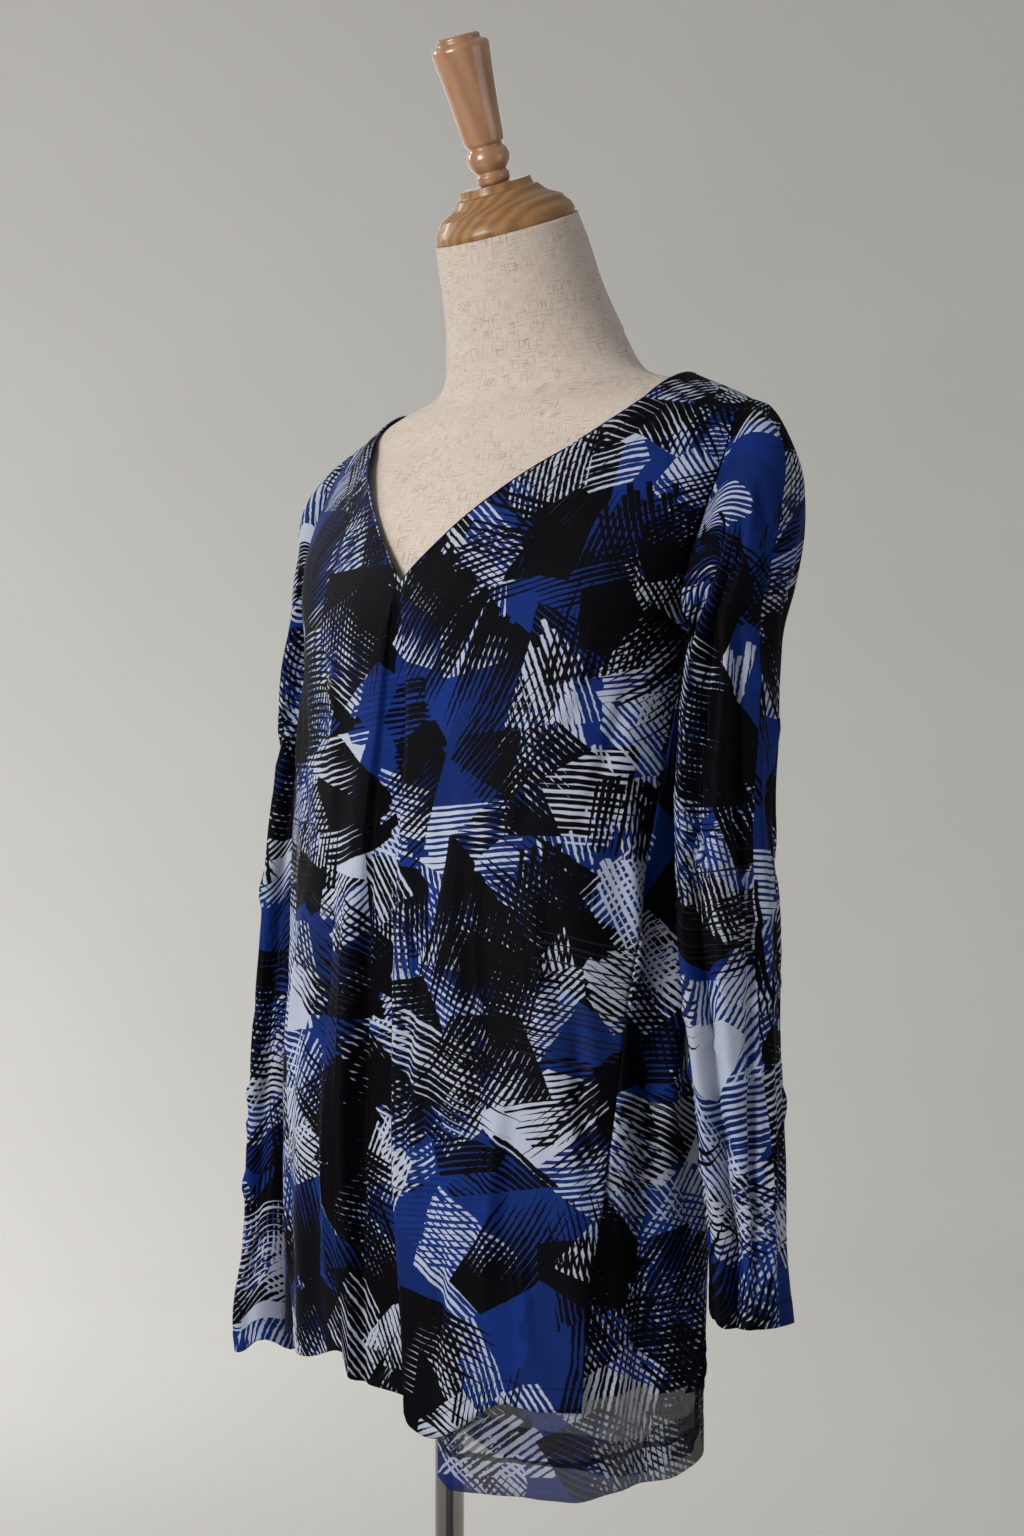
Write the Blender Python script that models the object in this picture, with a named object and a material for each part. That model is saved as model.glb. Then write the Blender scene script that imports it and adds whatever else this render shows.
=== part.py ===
# A long-sleeved V-neck blouse worn by a limbless dress form on a pole and a round base.
# Metres, +Z up. The front faces -Y and the wearer's left is +X. The origin is on the
# pole's axis at the floor.
import math

import bpy
import numpy as np
from mathutils import Matrix, Vector

# Cloth
CLOTH_WALL = 0.0012
SEAM_GAP = 0.0003
SLEEVE_SEAM_GAP = 0.0005

# Heights above the floor
UNDERARM_HEIGHT = 1.235
RIDGE_HEIGHT_AT_CENTRE = 1.4655
SHOULDER_SLOPE = 0.41
RIDGE_Y = 0.093
RIDGE_ROUND = 0.020

# Length of cloth that one level measures near the forward shoulder seam
SHOULDER_RISE = 0.120

# How round the upper front and the upper back turn over to the shoulder ridge
FRONT_ROUNDNESS = 1.5
BACK_ROUNDNESS = 2.3

# Half width of the blouse at the underarm
UNDERARM_HALF_WIDTH = 0.172

# Where the forward shoulder seam lies, as a level: 0 at the underarm, 1 on the ridge
SEAM_LEVEL_AT_NECK = 0.68
SEAM_LEVEL_AT_TIP = 0.80
V_POINT_LEVEL = 0.089
BACK_NECK_LEVEL = 0.452

# Height where the left side seam ends in a vent and the back begins to lap under the front
VENT_TOP = 0.860
LAP_DEPTH = 0.0050
LAP_BEGINS = 0.900
LAP_FULL = 0.820
LAP_FULL_DEGREES = 75.0
LAP_END_DEGREES = 95.0

# Mesh density: columns in each half of a panel, rows below and above the underarm
FRONT_COLUMNS = 15
BACK_COLUMNS = 15
LEVEL_ROWS = 9
HEM_ROWS = 6
LOWER_ROWS = LEVEL_ROWS + HEM_ROWS
HEM_SEARCHES = 6
FRONT_UPPER_ROWS = 10
BACK_UPPER_ROWS = 13

# Steps for finding which way the cloth faces: degrees round the body, and level
TURN_STEP = 1.0
LEVEL_STEP = 0.01

# The blouse's level sections, from the lowest hem up to the underarm
# (height, half width, half depth, middle Y, power of the superellipse)
BODY_SECTIONS = (
    (0.590, 0.1740, 0.1080, 0.0365, 2.1),
    (0.720, 0.1755, 0.1100, 0.0365, 2.1),
    (0.860, 0.1760, 0.1130, 0.0385, 2.2),
    (1.000, 0.1735, 0.1140, 0.0440, 2.3),
    (1.120, 0.1720, 0.1120, 0.0520, 2.4),
    (1.190, 0.1720, 0.1100, 0.0575, 2.4),
    (1.235, 0.1720, 0.1092, 0.0588, 2.4),
)

# Where the panels' side edges run, as degrees from the centre front
# (height, left edge of the front, left edge of the back, both edges on the right)
SIDE_EDGES = (
    (0.590, 58.0, 20.0, 112.0),
    (0.700, 59.5, 20.0, 112.0),
    (0.740, 60.5, 30.0, 111.0),
    (0.800, 62.5, 52.0, 109.0),
    (0.860, 67.0, 67.0, 107.0),
    (0.900, 69.5, 69.5, 105.0),
    (1.235, 90.0, 90.0, 90.0),
)

# Front hem (degrees from the centre front, + to the wearer's left; height)
FRONT_HEM = (
    (-112.0, 0.718),
    (-90.0, 0.728),
    (-57.0, 0.735),
    (-25.0, 0.733),
    (-7.2, 0.744),
    (-6.0, 0.727),
    (-4.0, 0.7225),
    (4.0, 0.7205),
    (7.2, 0.7195),
    (10.5, 0.716),
    (12.5, 0.704),
    (19.0, 0.698),
    (28.0, 0.709),
    (38.0, 0.726),
    (48.0, 0.723),
    (60.0, 0.724),
)

# Back tail's hem (degrees from the centre front the long way round by the left; height)
BACK_HEM = (
    (20.0, 0.673),
    (24.0, 0.6665),
    (57.0, 0.6645),
    (66.0, 0.6680),
    (78.0, 0.6720),
    (92.0, 0.6755),
    (106.0, 0.688),
    (123.0, 0.697),
    (140.0, 0.672),
    (155.0, 0.650),
    (165.0, 0.638),
    (180.0, 0.628),
    (195.0, 0.626),
    (210.0, 0.630),
    (225.0, 0.648),
    (235.0, 0.672),
    (248.0, 0.700),
)

# Half width of the blouse above the underarm (level, half width)
UPPER_WIDTHS = (
    (0.00, UNDERARM_HALF_WIDTH),
    (0.12, 0.184),
    (0.30, 0.197),
    (0.50, 0.202),
    (0.80, 0.2035),
    (1.00, 0.207),
)

# Neck edge, as how far from the centre the cloth begins at each level
# (level, X on the left, X on the right)
FRONT_NECK_EDGE = (
    (V_POINT_LEVEL, 0.0, 0.0),
    (0.200, 0.038, 0.036),
    (0.330, 0.078, 0.072),
    (0.456, 0.109, 0.102),
    (0.600, 0.129, 0.126),
    (0.680, 0.135, 0.136),
)
BACK_NECK_EDGE = (
    (BACK_NECK_LEVEL, 0.0, 0.0),
    (0.475, 0.040, 0.044),
    (0.530, 0.073, 0.080),
    (0.640, 0.103, 0.113),
    (0.800, 0.125, 0.138),
    (1.000, 0.139, 0.149),
    (1.320, 0.135, 0.136),
)

# Armhole edge, as degrees from the panel's centre (level, degrees)
FRONT_ARM_EDGE = (
    (0.00, 90.0),
    (0.04, 86.0),
    (0.12, 83.0),
    (0.30, 81.0),
    (0.50, 80.5),
    (0.80, 75.0),
)
BACK_ARM_EDGE = (
    (0.00, 90.0),
    (0.04, 86.0),
    (0.12, 82.0),
    (0.30, 79.0),
    (0.60, 77.0),
    (0.85, 73.5),
    (1.00, 71.7),
    (1.10, 72.7),
    (1.20, 75.0),
)

# Soft folds of the body: a ridge or, with a negative depth, a trough
# (degrees, half width in degrees, depth, height where it begins, height where it is full)
BODY_FOLDS = (
    (-72.0, 11.0, 0.0060, 1.200, 0.860),
    (-46.0, 10.0, -0.0080, 1.240, 0.900),
    (-27.0, 9.0, 0.0050, 1.180, 0.820),
    (26.0, 8.0, 0.0050, 1.100, 0.780),
    (42.0, 8.0, -0.0040, 1.020, 0.800),
    (60.0, 10.0, 0.0050, 1.160, 0.840),
    (82.0, 10.0, -0.0070, 1.180, 0.860),
    (103.0, 10.0, 0.0060, 1.140, 0.820),
    (124.0, 10.0, -0.0060, 1.180, 0.800),
    (147.0, 11.0, 0.0070, 1.180, 0.800),
    (168.0, 10.0, -0.0070, 1.240, 0.860),
    (188.0, 11.0, 0.0060, 1.160, 0.780),
    (208.0, 10.0, -0.0070, 1.200, 0.820),
    (229.0, 11.0, 0.0070, 1.140, 0.800),
    (252.0, 11.0, -0.0070, 1.200, 0.840),
)

# Inverted centre pleat: trough between two fold edges (height, middle X, half width, depth)
CENTRE_PLEAT = (
    (0.590, 0.0070, 0.0280, 0.0130),
    (0.740, 0.0065, 0.0275, 0.0125),
    (0.900, 0.0000, 0.0260, 0.0110),
    (1.060, 0.0000, 0.0215, 0.0095),
    (1.180, 0.0000, 0.0150, 0.0065),
    (1.235, 0.0000, 0.0080, 0.0035),
    (1.262, 0.0000, 0.0040, 0.0000),
)
PLEAT_WALL_SHARE = 0.45

# Columns across half of the pleat, from its middle to its fold edge, and the share of the
# panel's width that they take
PLEAT_COLUMNS = (0.0, 0.55, 0.775, 1.0)
PLEAT_SHARE = 0.14

# Above the underarm the columns spread out again over this many levels
PLEAT_RISE_PER_LEVEL = 0.25
PLEAT_SPREAD_LEVELS = 0.5

# Gathers that fall from each forward shoulder seam
GATHER_WAVES = 4
GATHER_DEPTH = 0.0013
GATHER_LEVELS = 0.42
GATHER_START = 0.08

# Sleeves, from the armhole to the cuff. Tilt turns the ring from level to standing.
# (left height, right height, X from centre, left Y, right Y, half thickness, half width, tilt)
SLEEVE_RINGS = (
    (1.3100, 1.3100, 0.2102, 0.0830, 0.0810, 0.0685, 0.0360, 78.0),
    (1.2880, 1.2860, 0.2170, 0.0800, 0.0800, 0.0580, 0.0370, 68.0),
    (1.2560, 1.2520, 0.2150, 0.0730, 0.0720, 0.0405, 0.0390, 58.0),
    (1.2170, 1.2090, 0.2115, 0.0590, 0.0630, 0.0285, 0.0430, 38.0),
    (1.1680, 1.1560, 0.2090, 0.0570, 0.0600, 0.0250, 0.0450, 14.0),
    (1.105, 1.088, 0.2130, 0.0490, 0.0550, 0.0230, 0.0460, 0.0),
    (1.035, 1.012, 0.2160, 0.0490, 0.0490, 0.0225, 0.0450, 0.0),
    (0.960, 0.930, 0.2190, 0.0520, 0.0390, 0.0220, 0.0410, 0.0),
    (0.885, 0.845, 0.2230, 0.0560, 0.0320, 0.0215, 0.0360, 0.0),
    (0.830, 0.775, 0.2260, 0.0580, 0.0260, 0.0210, 0.0320, 0.0),
    (0.800, 0.733, 0.2280, 0.0580, 0.0210, 0.0215, 0.0330, 0.0),
    (0.782, 0.705, 0.2285, 0.0585, 0.0250, 0.0220, 0.0340, 0.0),
)

# Where each cuff's edge rides up (side, degrees round the sleeve, half width, lift)
CUFF_LIFTS = (
    (1, 118.0, 42.0, 0.0170),
    (-1, 140.0, 45.0, 0.0100),
)
CUFF_LIFT_FROM = 0.88
SLEEVE_ROW_STEPS = 17
SLEEVE_BLEND_ROWS = 3.0

# How far each row leaves the armhole's edge before it joins the free sleeve
SLEEVE_LEAVE_STEP = 0.010

# The sleeve goes on flush with the panel where the way past the armhole's edge points
# sideways by FLUSH_FULL of its length, and stands off it where that is under FLUSH_FROM
FLUSH_FROM = 0.45
FLUSH_FULL = 0.85
WAY_SMOOTHINGS = 6

# Long folds of the sleeves (degrees round the sleeve: 0 outside, 90 front, 180 inside;
# half width, depth, share of the length where it is full, share where it ends)
SLEEVE_FOLDS = (
    (62.0, 26.0, -0.0150, 0.30, 1.10),
    (118.0, 22.0, -0.0080, 0.25, 0.90),
    (205.0, 28.0, -0.0100, 0.30, 1.10),
    (305.0, 24.0, -0.0090, 0.35, 1.05),
)
SLEEVE_FOLD_FADE = 0.6
SLEEVE_FOLD_TAIL = 0.25

# Dress form, from the flat bottom to the top of the neck
# (middle Y, height, half width, half depth, power, forward tilt in degrees)
FORM_RINGS = (
    (0.046, 0.742, 0.120, 0.072, 2.2, 0.0),
    (0.046, 0.752, 0.134, 0.084, 2.2, 0.0),
    (0.046, 0.800, 0.148, 0.092, 2.2, 0.0),
    (0.048, 0.870, 0.146, 0.092, 2.2, 0.0),
    (0.054, 0.950, 0.128, 0.084, 2.1, 0.0),
    (0.057, 1.020, 0.117, 0.080, 2.1, 0.0),
    (0.056, 1.090, 0.130, 0.089, 2.2, 0.0),
    (0.055, 1.150, 0.147, 0.096, 2.3, 0.0),
    (0.0585, 1.210, 0.153, 0.0990, 2.4, 0.0),
    (0.0620, 1.260, 0.156, 0.1000, 2.3, 0.0),
    (0.0665, 1.310, 0.164, 0.0925, 2.1, 0.0),
    (0.0735, 1.345, 0.172, 0.0810, 1.8, 0.0),
    (0.0790, 1.3720, 0.1830, 0.0705, 1.5, 0.0),
    (0.0850, 1.3908, 0.1660, 0.0685, 1.45, 3.0),
    (0.0875, 1.4021, 0.1409, 0.0660, 1.4, 6.0),
    (0.0870, 1.410, 0.1060, 0.0645, 1.5, 8.0),
    (0.0860, 1.420, 0.082, 0.0640, 1.8, 11.0),
    (0.0800, 1.442, 0.066, 0.0610, 2.0, 15.0),
    (0.0700, 1.470, 0.058, 0.0565, 2.0, 19.0),
    (0.0610, 1.498, 0.0545, 0.0540, 2.0, 20.0),
    (0.0535, 1.5185, 0.0515, 0.0515, 2.0, 20.0),
)
FORM_SEGMENTS = 30

# Neck cap and finial lean forward with the neck
NECK_LEAN_DEG = 20.0
CAP_SEAT = (0.0, 0.0535, 1.5185)
CAP_PROFILE = (
    (0.0500, 0.0000),
    (0.0505, 0.0025),
    (0.0490, 0.0075),
    (0.0455, 0.0120),
    (0.0440, 0.0145),
    (0.0400, 0.0170),
    (0.0345, 0.0200),
    (0.0310, 0.0237),
    (0.0295, 0.0256),
    (0.0265, 0.0269),
    (0.0255, 0.0320),
)
FINIAL_PROFILE = (
    (0.0100, 0.0000),
    (0.0115, 0.0018),
    (0.0120, 0.0055),
    (0.0105, 0.0082),
    (0.0125, 0.0105),
    (0.0148, 0.0146),
    (0.0153, 0.0182),
    (0.0143, 0.0223),
    (0.0120, 0.0255),
    (0.0122, 0.0268),
    (0.0138, 0.0282),
    (0.0145, 0.0320),
    (0.0160, 0.0510),
    (0.0182, 0.0728),
    (0.0202, 0.0892),
    (0.0206, 0.0937),
    (0.0196, 0.0969),
    (0.0168, 0.0983),
    (0.0158, 0.0987),
    (0.0156, 0.1020),
    (0.0140, 0.1033),
)
TURNED_SEGMENTS = 24

# Pole and base
POLE_RADIUS = 0.010
COLLAR_RADIUS = 0.024
COLLAR_HEIGHT = 0.006
COLLAR_TAPER = 0.004
BASE_RADIUS = 0.155
BASE_PROFILE = (
    (BASE_RADIUS - 0.002, 0.0000),
    (BASE_RADIUS, 0.0015),
    (BASE_RADIUS, 0.0060),
    (BASE_RADIUS - 0.004, 0.0085),
    (0.0300, 0.0110),
    (0.0220, 0.0140),
    (0.0180, 0.0280),
    (0.0160, 0.0300),
)
BASE_SEGMENTS = 36


def remove_everything():
    for thing in list(bpy.data.objects):
        bpy.data.objects.remove(thing)


def make_material(name, colour, roughness, metallic=0.0):
    material = bpy.data.materials.new(name)
    material.use_nodes = True
    shader = material.node_tree.nodes["Principled BSDF"]
    shader.inputs["Base Color"].default_value = (*colour, 1.0)
    shader.inputs["Roughness"].default_value = roughness
    shader.inputs["Metallic"].default_value = metallic
    return material


def smooth_read(table, at):
    # Reads a table's columns at a place between its rows, on a smooth curve that
    # doesn't swing past the rows. The first column holds the places.
    places = np.array([row[0] for row in table], dtype=float)
    values = np.array([row[1:] for row in table], dtype=float)
    at = float(np.clip(at, places[0], places[-1]))
    right = int(np.clip(np.searchsorted(places, at), 1, len(places) - 1))
    steps = np.diff(places)
    slopes = np.diff(values, axis=0) / steps[:, None]

    def tangent(row):
        if row == 0:
            return slopes[0]
        if row == len(places) - 1:
            return slopes[-1]
        before = slopes[row - 1]
        after = slopes[row]
        total = before + after
        safe = np.where(np.abs(total) < 1e-12, 1.0, total)
        return np.where(before * after > 0, 2.0 * before * after / safe, 0.0)

    step = steps[right - 1]
    share = (at - places[right - 1]) / step
    start = values[right - 1]
    end = values[right]
    bend = (2 * share**3 - 3 * share**2 + 1) * start
    bend = bend + (-2 * share**3 + 3 * share**2) * end
    bend = bend + (share**3 - 2 * share**2 + share) * step * tangent(right - 1)
    return bend + (share**3 - share**2) * step * tangent(right)


def smooth_step(share):
    share = min(max(share, 0.0), 1.0)
    return share * share * (3.0 - 2.0 * share)


def signed_power(value, power):
    return math.copysign(abs(value) ** power, value)


def body_point(degrees, height):
    # A point of the plain body below the underarm; degrees run from the centre front.
    half_width, half_depth, middle_y, power = smooth_read(BODY_SECTIONS, height)
    turn = math.radians(degrees)
    across = math.sin(turn)
    depth = (1.0 - abs(across) ** power) ** (1.0 / power)
    depth = math.copysign(depth, math.cos(turn))
    return Vector((half_width * across, middle_y - half_depth * depth, height))


def upper_width(level):
    return smooth_read(UPPER_WIDTHS, level)[0]


def upper_point(degrees, level, back):
    # A point of the plain body above the underarm. On the back panel the level goes on
    # past the ridge, at 1, and down the front to the forward shoulder seam.
    behind = back and level <= 1.0
    near = level if level <= 1.0 else 2.0 - level
    rise = math.sin(math.radians(90.0 * near))
    roundness = BACK_ROUNDNESS if behind else FRONT_ROUNDNESS
    keep = max(1.0 - rise**roundness, 0.0) ** (1.0 / roundness)
    ring_y = body_point(180.0 - degrees if behind else degrees, UNDERARM_HEIGHT).y
    x = upper_width(near) * math.sin(math.radians(degrees))
    y = RIDGE_Y + (ring_y - RIDGE_Y) * keep
    ridge = RIDGE_HEIGHT_AT_CENTRE - SHOULDER_SLOPE * math.hypot(x, RIDGE_ROUND)
    return Vector((x, y, UNDERARM_HEIGHT + (ridge - UNDERARM_HEIGHT) * rise))


def fold_depth(degrees, height):
    # How far the folds stand out of, or into, the plain body.
    total = 0.0
    for at, half_width, depth, begins, full in BODY_FOLDS:
        away = abs((degrees - at + 180.0) % 360.0 - 180.0)
        if away < half_width and height < begins:
            bell = 0.5 + 0.5 * math.cos(math.pi * away / half_width)
            total += depth * bell * smooth_step((begins - height) / (begins - full))
    return total


def pleat_depth(x, height):
    middle, half_width, depth = smooth_read(CENTRE_PLEAT, height)
    wall = half_width * PLEAT_WALL_SHARE
    return -depth * (1.0 - smooth_step((abs(x - middle) - half_width + wall) / wall))


def gather_depth(share, level, top_level, back):
    # Small waves under the forward shoulder seam, fading down the chest.
    if back:
        return 0.0
    under_seam = top_level - level
    fade = smooth_step(1.0 - under_seam / GATHER_LEVELS) * smooth_step(under_seam / GATHER_START)
    return GATHER_DEPTH * fade * math.sin(2.0 * math.pi * GATHER_WAVES * share)


def front_shares():
    # Column places from the centre front to the side. The first ones lie on the pleat's
    # floor and wall, and share PLEAT_SHARE ends on its fold edge.
    pleat = [PLEAT_SHARE * place for place in PLEAT_COLUMNS]
    rest = FRONT_COLUMNS - len(pleat) + 1
    return pleat + [PLEAT_SHARE + (1.0 - PLEAT_SHARE) * step / rest for step in range(1, rest + 1)]


def spread(share, inner, strip, outer):
    # An angle across the front panel: a strip beside the inner edge, then the rest.
    if share <= PLEAT_SHARE:
        return inner + strip * share / PLEAT_SHARE
    rest = (share - PLEAT_SHARE) / (1.0 - PLEAT_SHARE)
    return inner + strip + (outer - inner - strip) * rest


def pleat_edge_angle(height, side):
    # Where the pleat's fold edge lies on one side, as degrees from the centre front.
    middle, half_width, _ = smooth_read(CENTRE_PLEAT, height)
    body_half_width = smooth_read(BODY_SECTIONS, height)[0]
    return math.degrees(math.asin((half_width + side * middle) / body_half_width))


def back_shares():
    return [step / BACK_COLUMNS for step in range(BACK_COLUMNS + 1)]


def panel_point(share, row, side, back):
    # share: 0 at the panel's centre, 1 at its side edge. row: -1 at the hem, 0 at the
    # underarm and 1 at the top edge. side: +1 the wearer's left, -1 the right.
    if row <= 0.0:
        return lower_panel_point(share, 1.0 + row, side, back)
    return upper_panel_point(share, row, side, back)


def lower_panel_point(share, rise, side, back):
    # Rows above the vent's top are level; those below it spread down to the hem.
    level_from = HEM_ROWS / LOWER_ROWS
    if rise >= level_from:
        height = VENT_TOP + (UNDERARM_HEIGHT - VENT_TOP) * (rise - level_from) / (1.0 - level_from)
    else:
        height = VENT_TOP
        for _ in range(HEM_SEARCHES):
            hem = hem_height(panel_angle(share, height, side, back), back)
            height = hem + (VENT_TOP - hem) * rise / level_from
    angle = panel_angle(share, height, side, back)
    point = body_point(angle, height)
    outward = body_normal(angle, height)
    depth = fold_depth(angle, height)
    if back:
        depth -= lap_depth(angle, height)
    else:
        depth += pleat_depth(point.x, height)
    return point + outward * depth, outward


def lap_depth(angle, height):
    # How far the back's left part lies under the front, below the vent's top.
    across = smooth_step((LAP_END_DEGREES - angle) / (LAP_END_DEGREES - LAP_FULL_DEGREES))
    return LAP_DEPTH * across * smooth_step((LAP_BEGINS - height) / (LAP_BEGINS - LAP_FULL))


def panel_angle(share, height, side, back):
    front_left, back_left, right = smooth_read(SIDE_EDGES, height)
    left = back_left if back else front_left
    edge = left if side > 0 else right
    trim = math.degrees(0.5 * SEAM_GAP / UNDERARM_HALF_WIDTH)
    if back:
        return 180.0 - side * share * (180.0 - edge - trim)
    return side * spread(share, 0.0, pleat_edge_angle(height, side), edge - trim)


def hem_height(angle, back):
    if back:
        return smooth_read(BACK_HEM, angle % 360.0)[0]
    return smooth_read(FRONT_HEM, angle)[0]


def body_normal(angle, height):
    along = body_point(angle + TURN_STEP, height) - body_point(angle - TURN_STEP, height)
    return Vector((along.y, -along.x, 0.0)).normalized()


def upper_panel_point(share, row, side, back):
    # row: 0 at the underarm, 1 at the forward shoulder seam.
    neck_level = 2.0 - SEAM_LEVEL_AT_NECK if back else SEAM_LEVEL_AT_NECK
    tip_level = 2.0 - SEAM_LEVEL_AT_TIP if back else SEAM_LEVEL_AT_TIP
    top = neck_level + (tip_level - neck_level) * share
    trim_level = 0.5 * SEAM_GAP / SHOULDER_RISE
    level = row * (top - trim_level)
    neck_edge = BACK_NECK_EDGE if back else FRONT_NECK_EDGE
    arm_edge = BACK_ARM_EDGE if back else FRONT_ARM_EDGE
    x_edge = neck_edge_x(neck_edge, level, side)
    width = upper_width(level if level < 1.0 else 2.0 - level)
    inner = math.degrees(math.asin(x_edge / width))
    outer = smooth_read(arm_edge, level)[0]
    trim = math.degrees(0.5 * SEAM_GAP / UNDERARM_HALF_WIDTH)
    angle = inner + (outer - trim - inner) * share
    if not back:
        narrow = pleat_edge_angle(UNDERARM_HEIGHT + PLEAT_RISE_PER_LEVEL * level, side)
        wide = PLEAT_SHARE * (outer - trim - inner)
        spreading = smooth_step((level - V_POINT_LEVEL) / PLEAT_SPREAD_LEVELS)
        strip = narrow + (wide - narrow) * spreading
        angle = spread(share, inner, strip, outer - trim)
    point = upper_point(angle, level, back)
    point.x *= side
    height = point.z
    across = angle * side if not back else 180.0 - angle * side
    depth = fold_depth(across, height)
    if not back and level < V_POINT_LEVEL:
        depth += pleat_depth(point.x, height)
    depth += gather_depth(share, level, top, back)
    outward = upper_normal(angle, level, back, side)
    return point + outward * depth, outward


def neck_edge_x(neck_edge, level, side):
    if level < neck_edge[0][0]:
        return 0.0
    left, right = smooth_read(neck_edge, level)
    return left if side > 0 else right


def upper_normal(angle, level, back, side):
    # Which way is out of the cloth, mirrored to its side.
    after = upper_point(angle + TURN_STEP, level, back)
    before = upper_point(angle - TURN_STEP, level, back)
    above = upper_point(angle, level + LEVEL_STEP, back)
    below = upper_point(angle, max(level - LEVEL_STEP, 0.0), back)
    outward = (after - before).cross(above - below).normalized()
    if back:
        outward = -outward
    return Vector((outward.x * side, outward.y, outward.z))


def panel_rows(back):
    lower = [-1.0 + step / LOWER_ROWS for step in range(LOWER_ROWS)]
    upper_count = BACK_UPPER_ROWS if back else FRONT_UPPER_ROWS
    upper = [step / upper_count for step in range(upper_count + 1)]
    neck_row = neck_point_row(back)
    nearest = min(range(1, upper_count), key=lambda k: abs(upper[k] - neck_row))
    upper[nearest] = neck_row
    return lower + upper


def neck_point_row(back):
    # The row where the two halves of a panel part at the neck opening.
    if back:
        return BACK_NECK_LEVEL / (2.0 - SEAM_LEVEL_AT_NECK)
    return V_POINT_LEVEL / SEAM_LEVEL_AT_NECK


def build_panel(name, back, material):
    # The two halves share their centre points up to the neck point.
    rows = panel_rows(back)
    shares = back_shares() if back else front_shares()
    neck = neck_point_row(back)
    points = []
    index = {}
    seam_ways = {}
    for r, row in enumerate(rows):
        for side in (1, -1):
            for c, share in enumerate(shares):
                shared = c == 0 and row <= neck
                key = (r, 0 if shared else side, c)
                if key not in index:
                    point, outward = panel_point(share, row, side, back)
                    if share == 1.0 or row == 1.0:
                        seam_ways[len(points)] = outward
                    index[key] = len(points)
                    points.append(point)

    def vertex(r, side, c):
        return index.get((r, 0, c), index.get((r, side, c))) if c == 0 else index[(r, side, c)]

    faces = []
    for r in range(len(rows) - 1):
        for side in (1, -1):
            for c in range(len(shares) - 1):
                corners = [
                    vertex(r, side, c),
                    vertex(r, side, c + 1),
                    vertex(r + 1, side, c + 1),
                    vertex(r + 1, side, c),
                ]
                outward_order = (side > 0) != back
                faces.append(corners if outward_order else corners[::-1])
    return cloth_object(name, points, faces, seam_ways, material)


def cloth_object(name, points, faces, seam_ways, material):
    # Thickens a sheet inward. Along its seams the wall follows the way that the
    # neighbouring piece follows too, so that both walls stay apart.
    count = len(points)
    ways = [Vector() for _ in points]
    for face in faces:
        a, b, c, d = (points[corner] for corner in face)
        facing = (c - a).cross(d - b)
        for corner in face:
            ways[corner] += facing
    for corner in range(count):
        ways[corner].normalize()
    for corner, way in seam_ways.items():
        ways[corner] = way
    inner = [point - way * CLOTH_WALL for point, way in zip(points, ways)]
    outside = []
    for a, b, c, d in faces:
        if (points[a] - points[c]).length < (points[b] - points[d]).length:
            outside += [(a, b, c), (a, c, d)]
        else:
            outside += [(a, b, d), (b, c, d)]
    inside = [(a + count, c + count, b + count) for a, b, c in outside]
    edges = {(a, b) for face in faces for a, b in zip(face, face[1:] + face[:1])}
    rim = [(a, a + count, b + count, b) for a, b in sorted(edges) if (b, a) not in edges]
    return add_solid(name, points + inner, outside + inside + rim, material)


def add_solid(name, points, faces, material):
    mesh = bpy.data.meshes.new(name)
    mesh.from_pydata([tuple(point) for point in points], [], faces)
    mesh.update()
    mesh.shade_smooth()
    mesh.materials.append(material)
    solid = bpy.data.objects.new(name, mesh)
    bpy.context.collection.objects.link(solid)
    return solid


def armhole_loop(side):
    # The armhole's edge from the shoulder tip down the front to the underarm and up the
    # back, at the panels' own rows: each point, the way past the edge, the way out of
    # the cloth, and how far round the edge it lies.
    front = [edge_point(row, side, False) for row in reversed(panel_rows(False)) if row >= 0.0]
    back = [edge_point(row, side, True) for row in panel_rows(True) if row >= 0.0]
    tip = halfway(front[0], back[-1])
    underarm = halfway(front[-1], back[0])
    loop = [tip, *front[1:-1], underarm, *back[1:-1]]
    centre = sum((point for point, _ in loop), Vector()) / len(loop)
    total = sum((loop[k][0] - loop[k - 1][0]).length for k in range(len(loop)))
    walked = 0.0
    edge = []
    for k, (point, outward) in enumerate(loop):
        before = loop[k - 1][0]
        after = loop[(k + 1) % len(loop)][0]
        if k > 0:
            walked += (point - before).length
        away = (after - before).cross(outward).normalized()
        if away.dot(centre - point) < 0.0:
            away = -away
        edge.append((point, away, outward, walked / total))
    return edge


def flush_share(away):
    # 1 where the sleeve goes on along the shoulder, 0 where it stands off the panel.
    return smooth_step((abs(away.x) - FLUSH_FROM) / (FLUSH_FULL - FLUSH_FROM))


def leaving_ways(edge):
    # The way that each column of the sleeve leaves the armhole, evened out round it.
    ways = []
    for _, away, outward, _ in edge:
        flush = flush_share(away)
        ways.append((away * flush + outward * (1.0 - flush)).normalized())
    for _ in range(WAY_SMOOTHINGS):
        following = ways[1:] + ways[:1]
        ways = [(ways[k - 1] + 2.0 * way + following[k]).normalized() for k, way in enumerate(ways)]
    return ways


def edge_point(row, side, back):
    return upper_panel_point(1.0, row, side, back)


def halfway(first, second):
    point = (first[0] + second[0]) / 2.0
    return point, (first[1] + second[1]).normalized()


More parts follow.
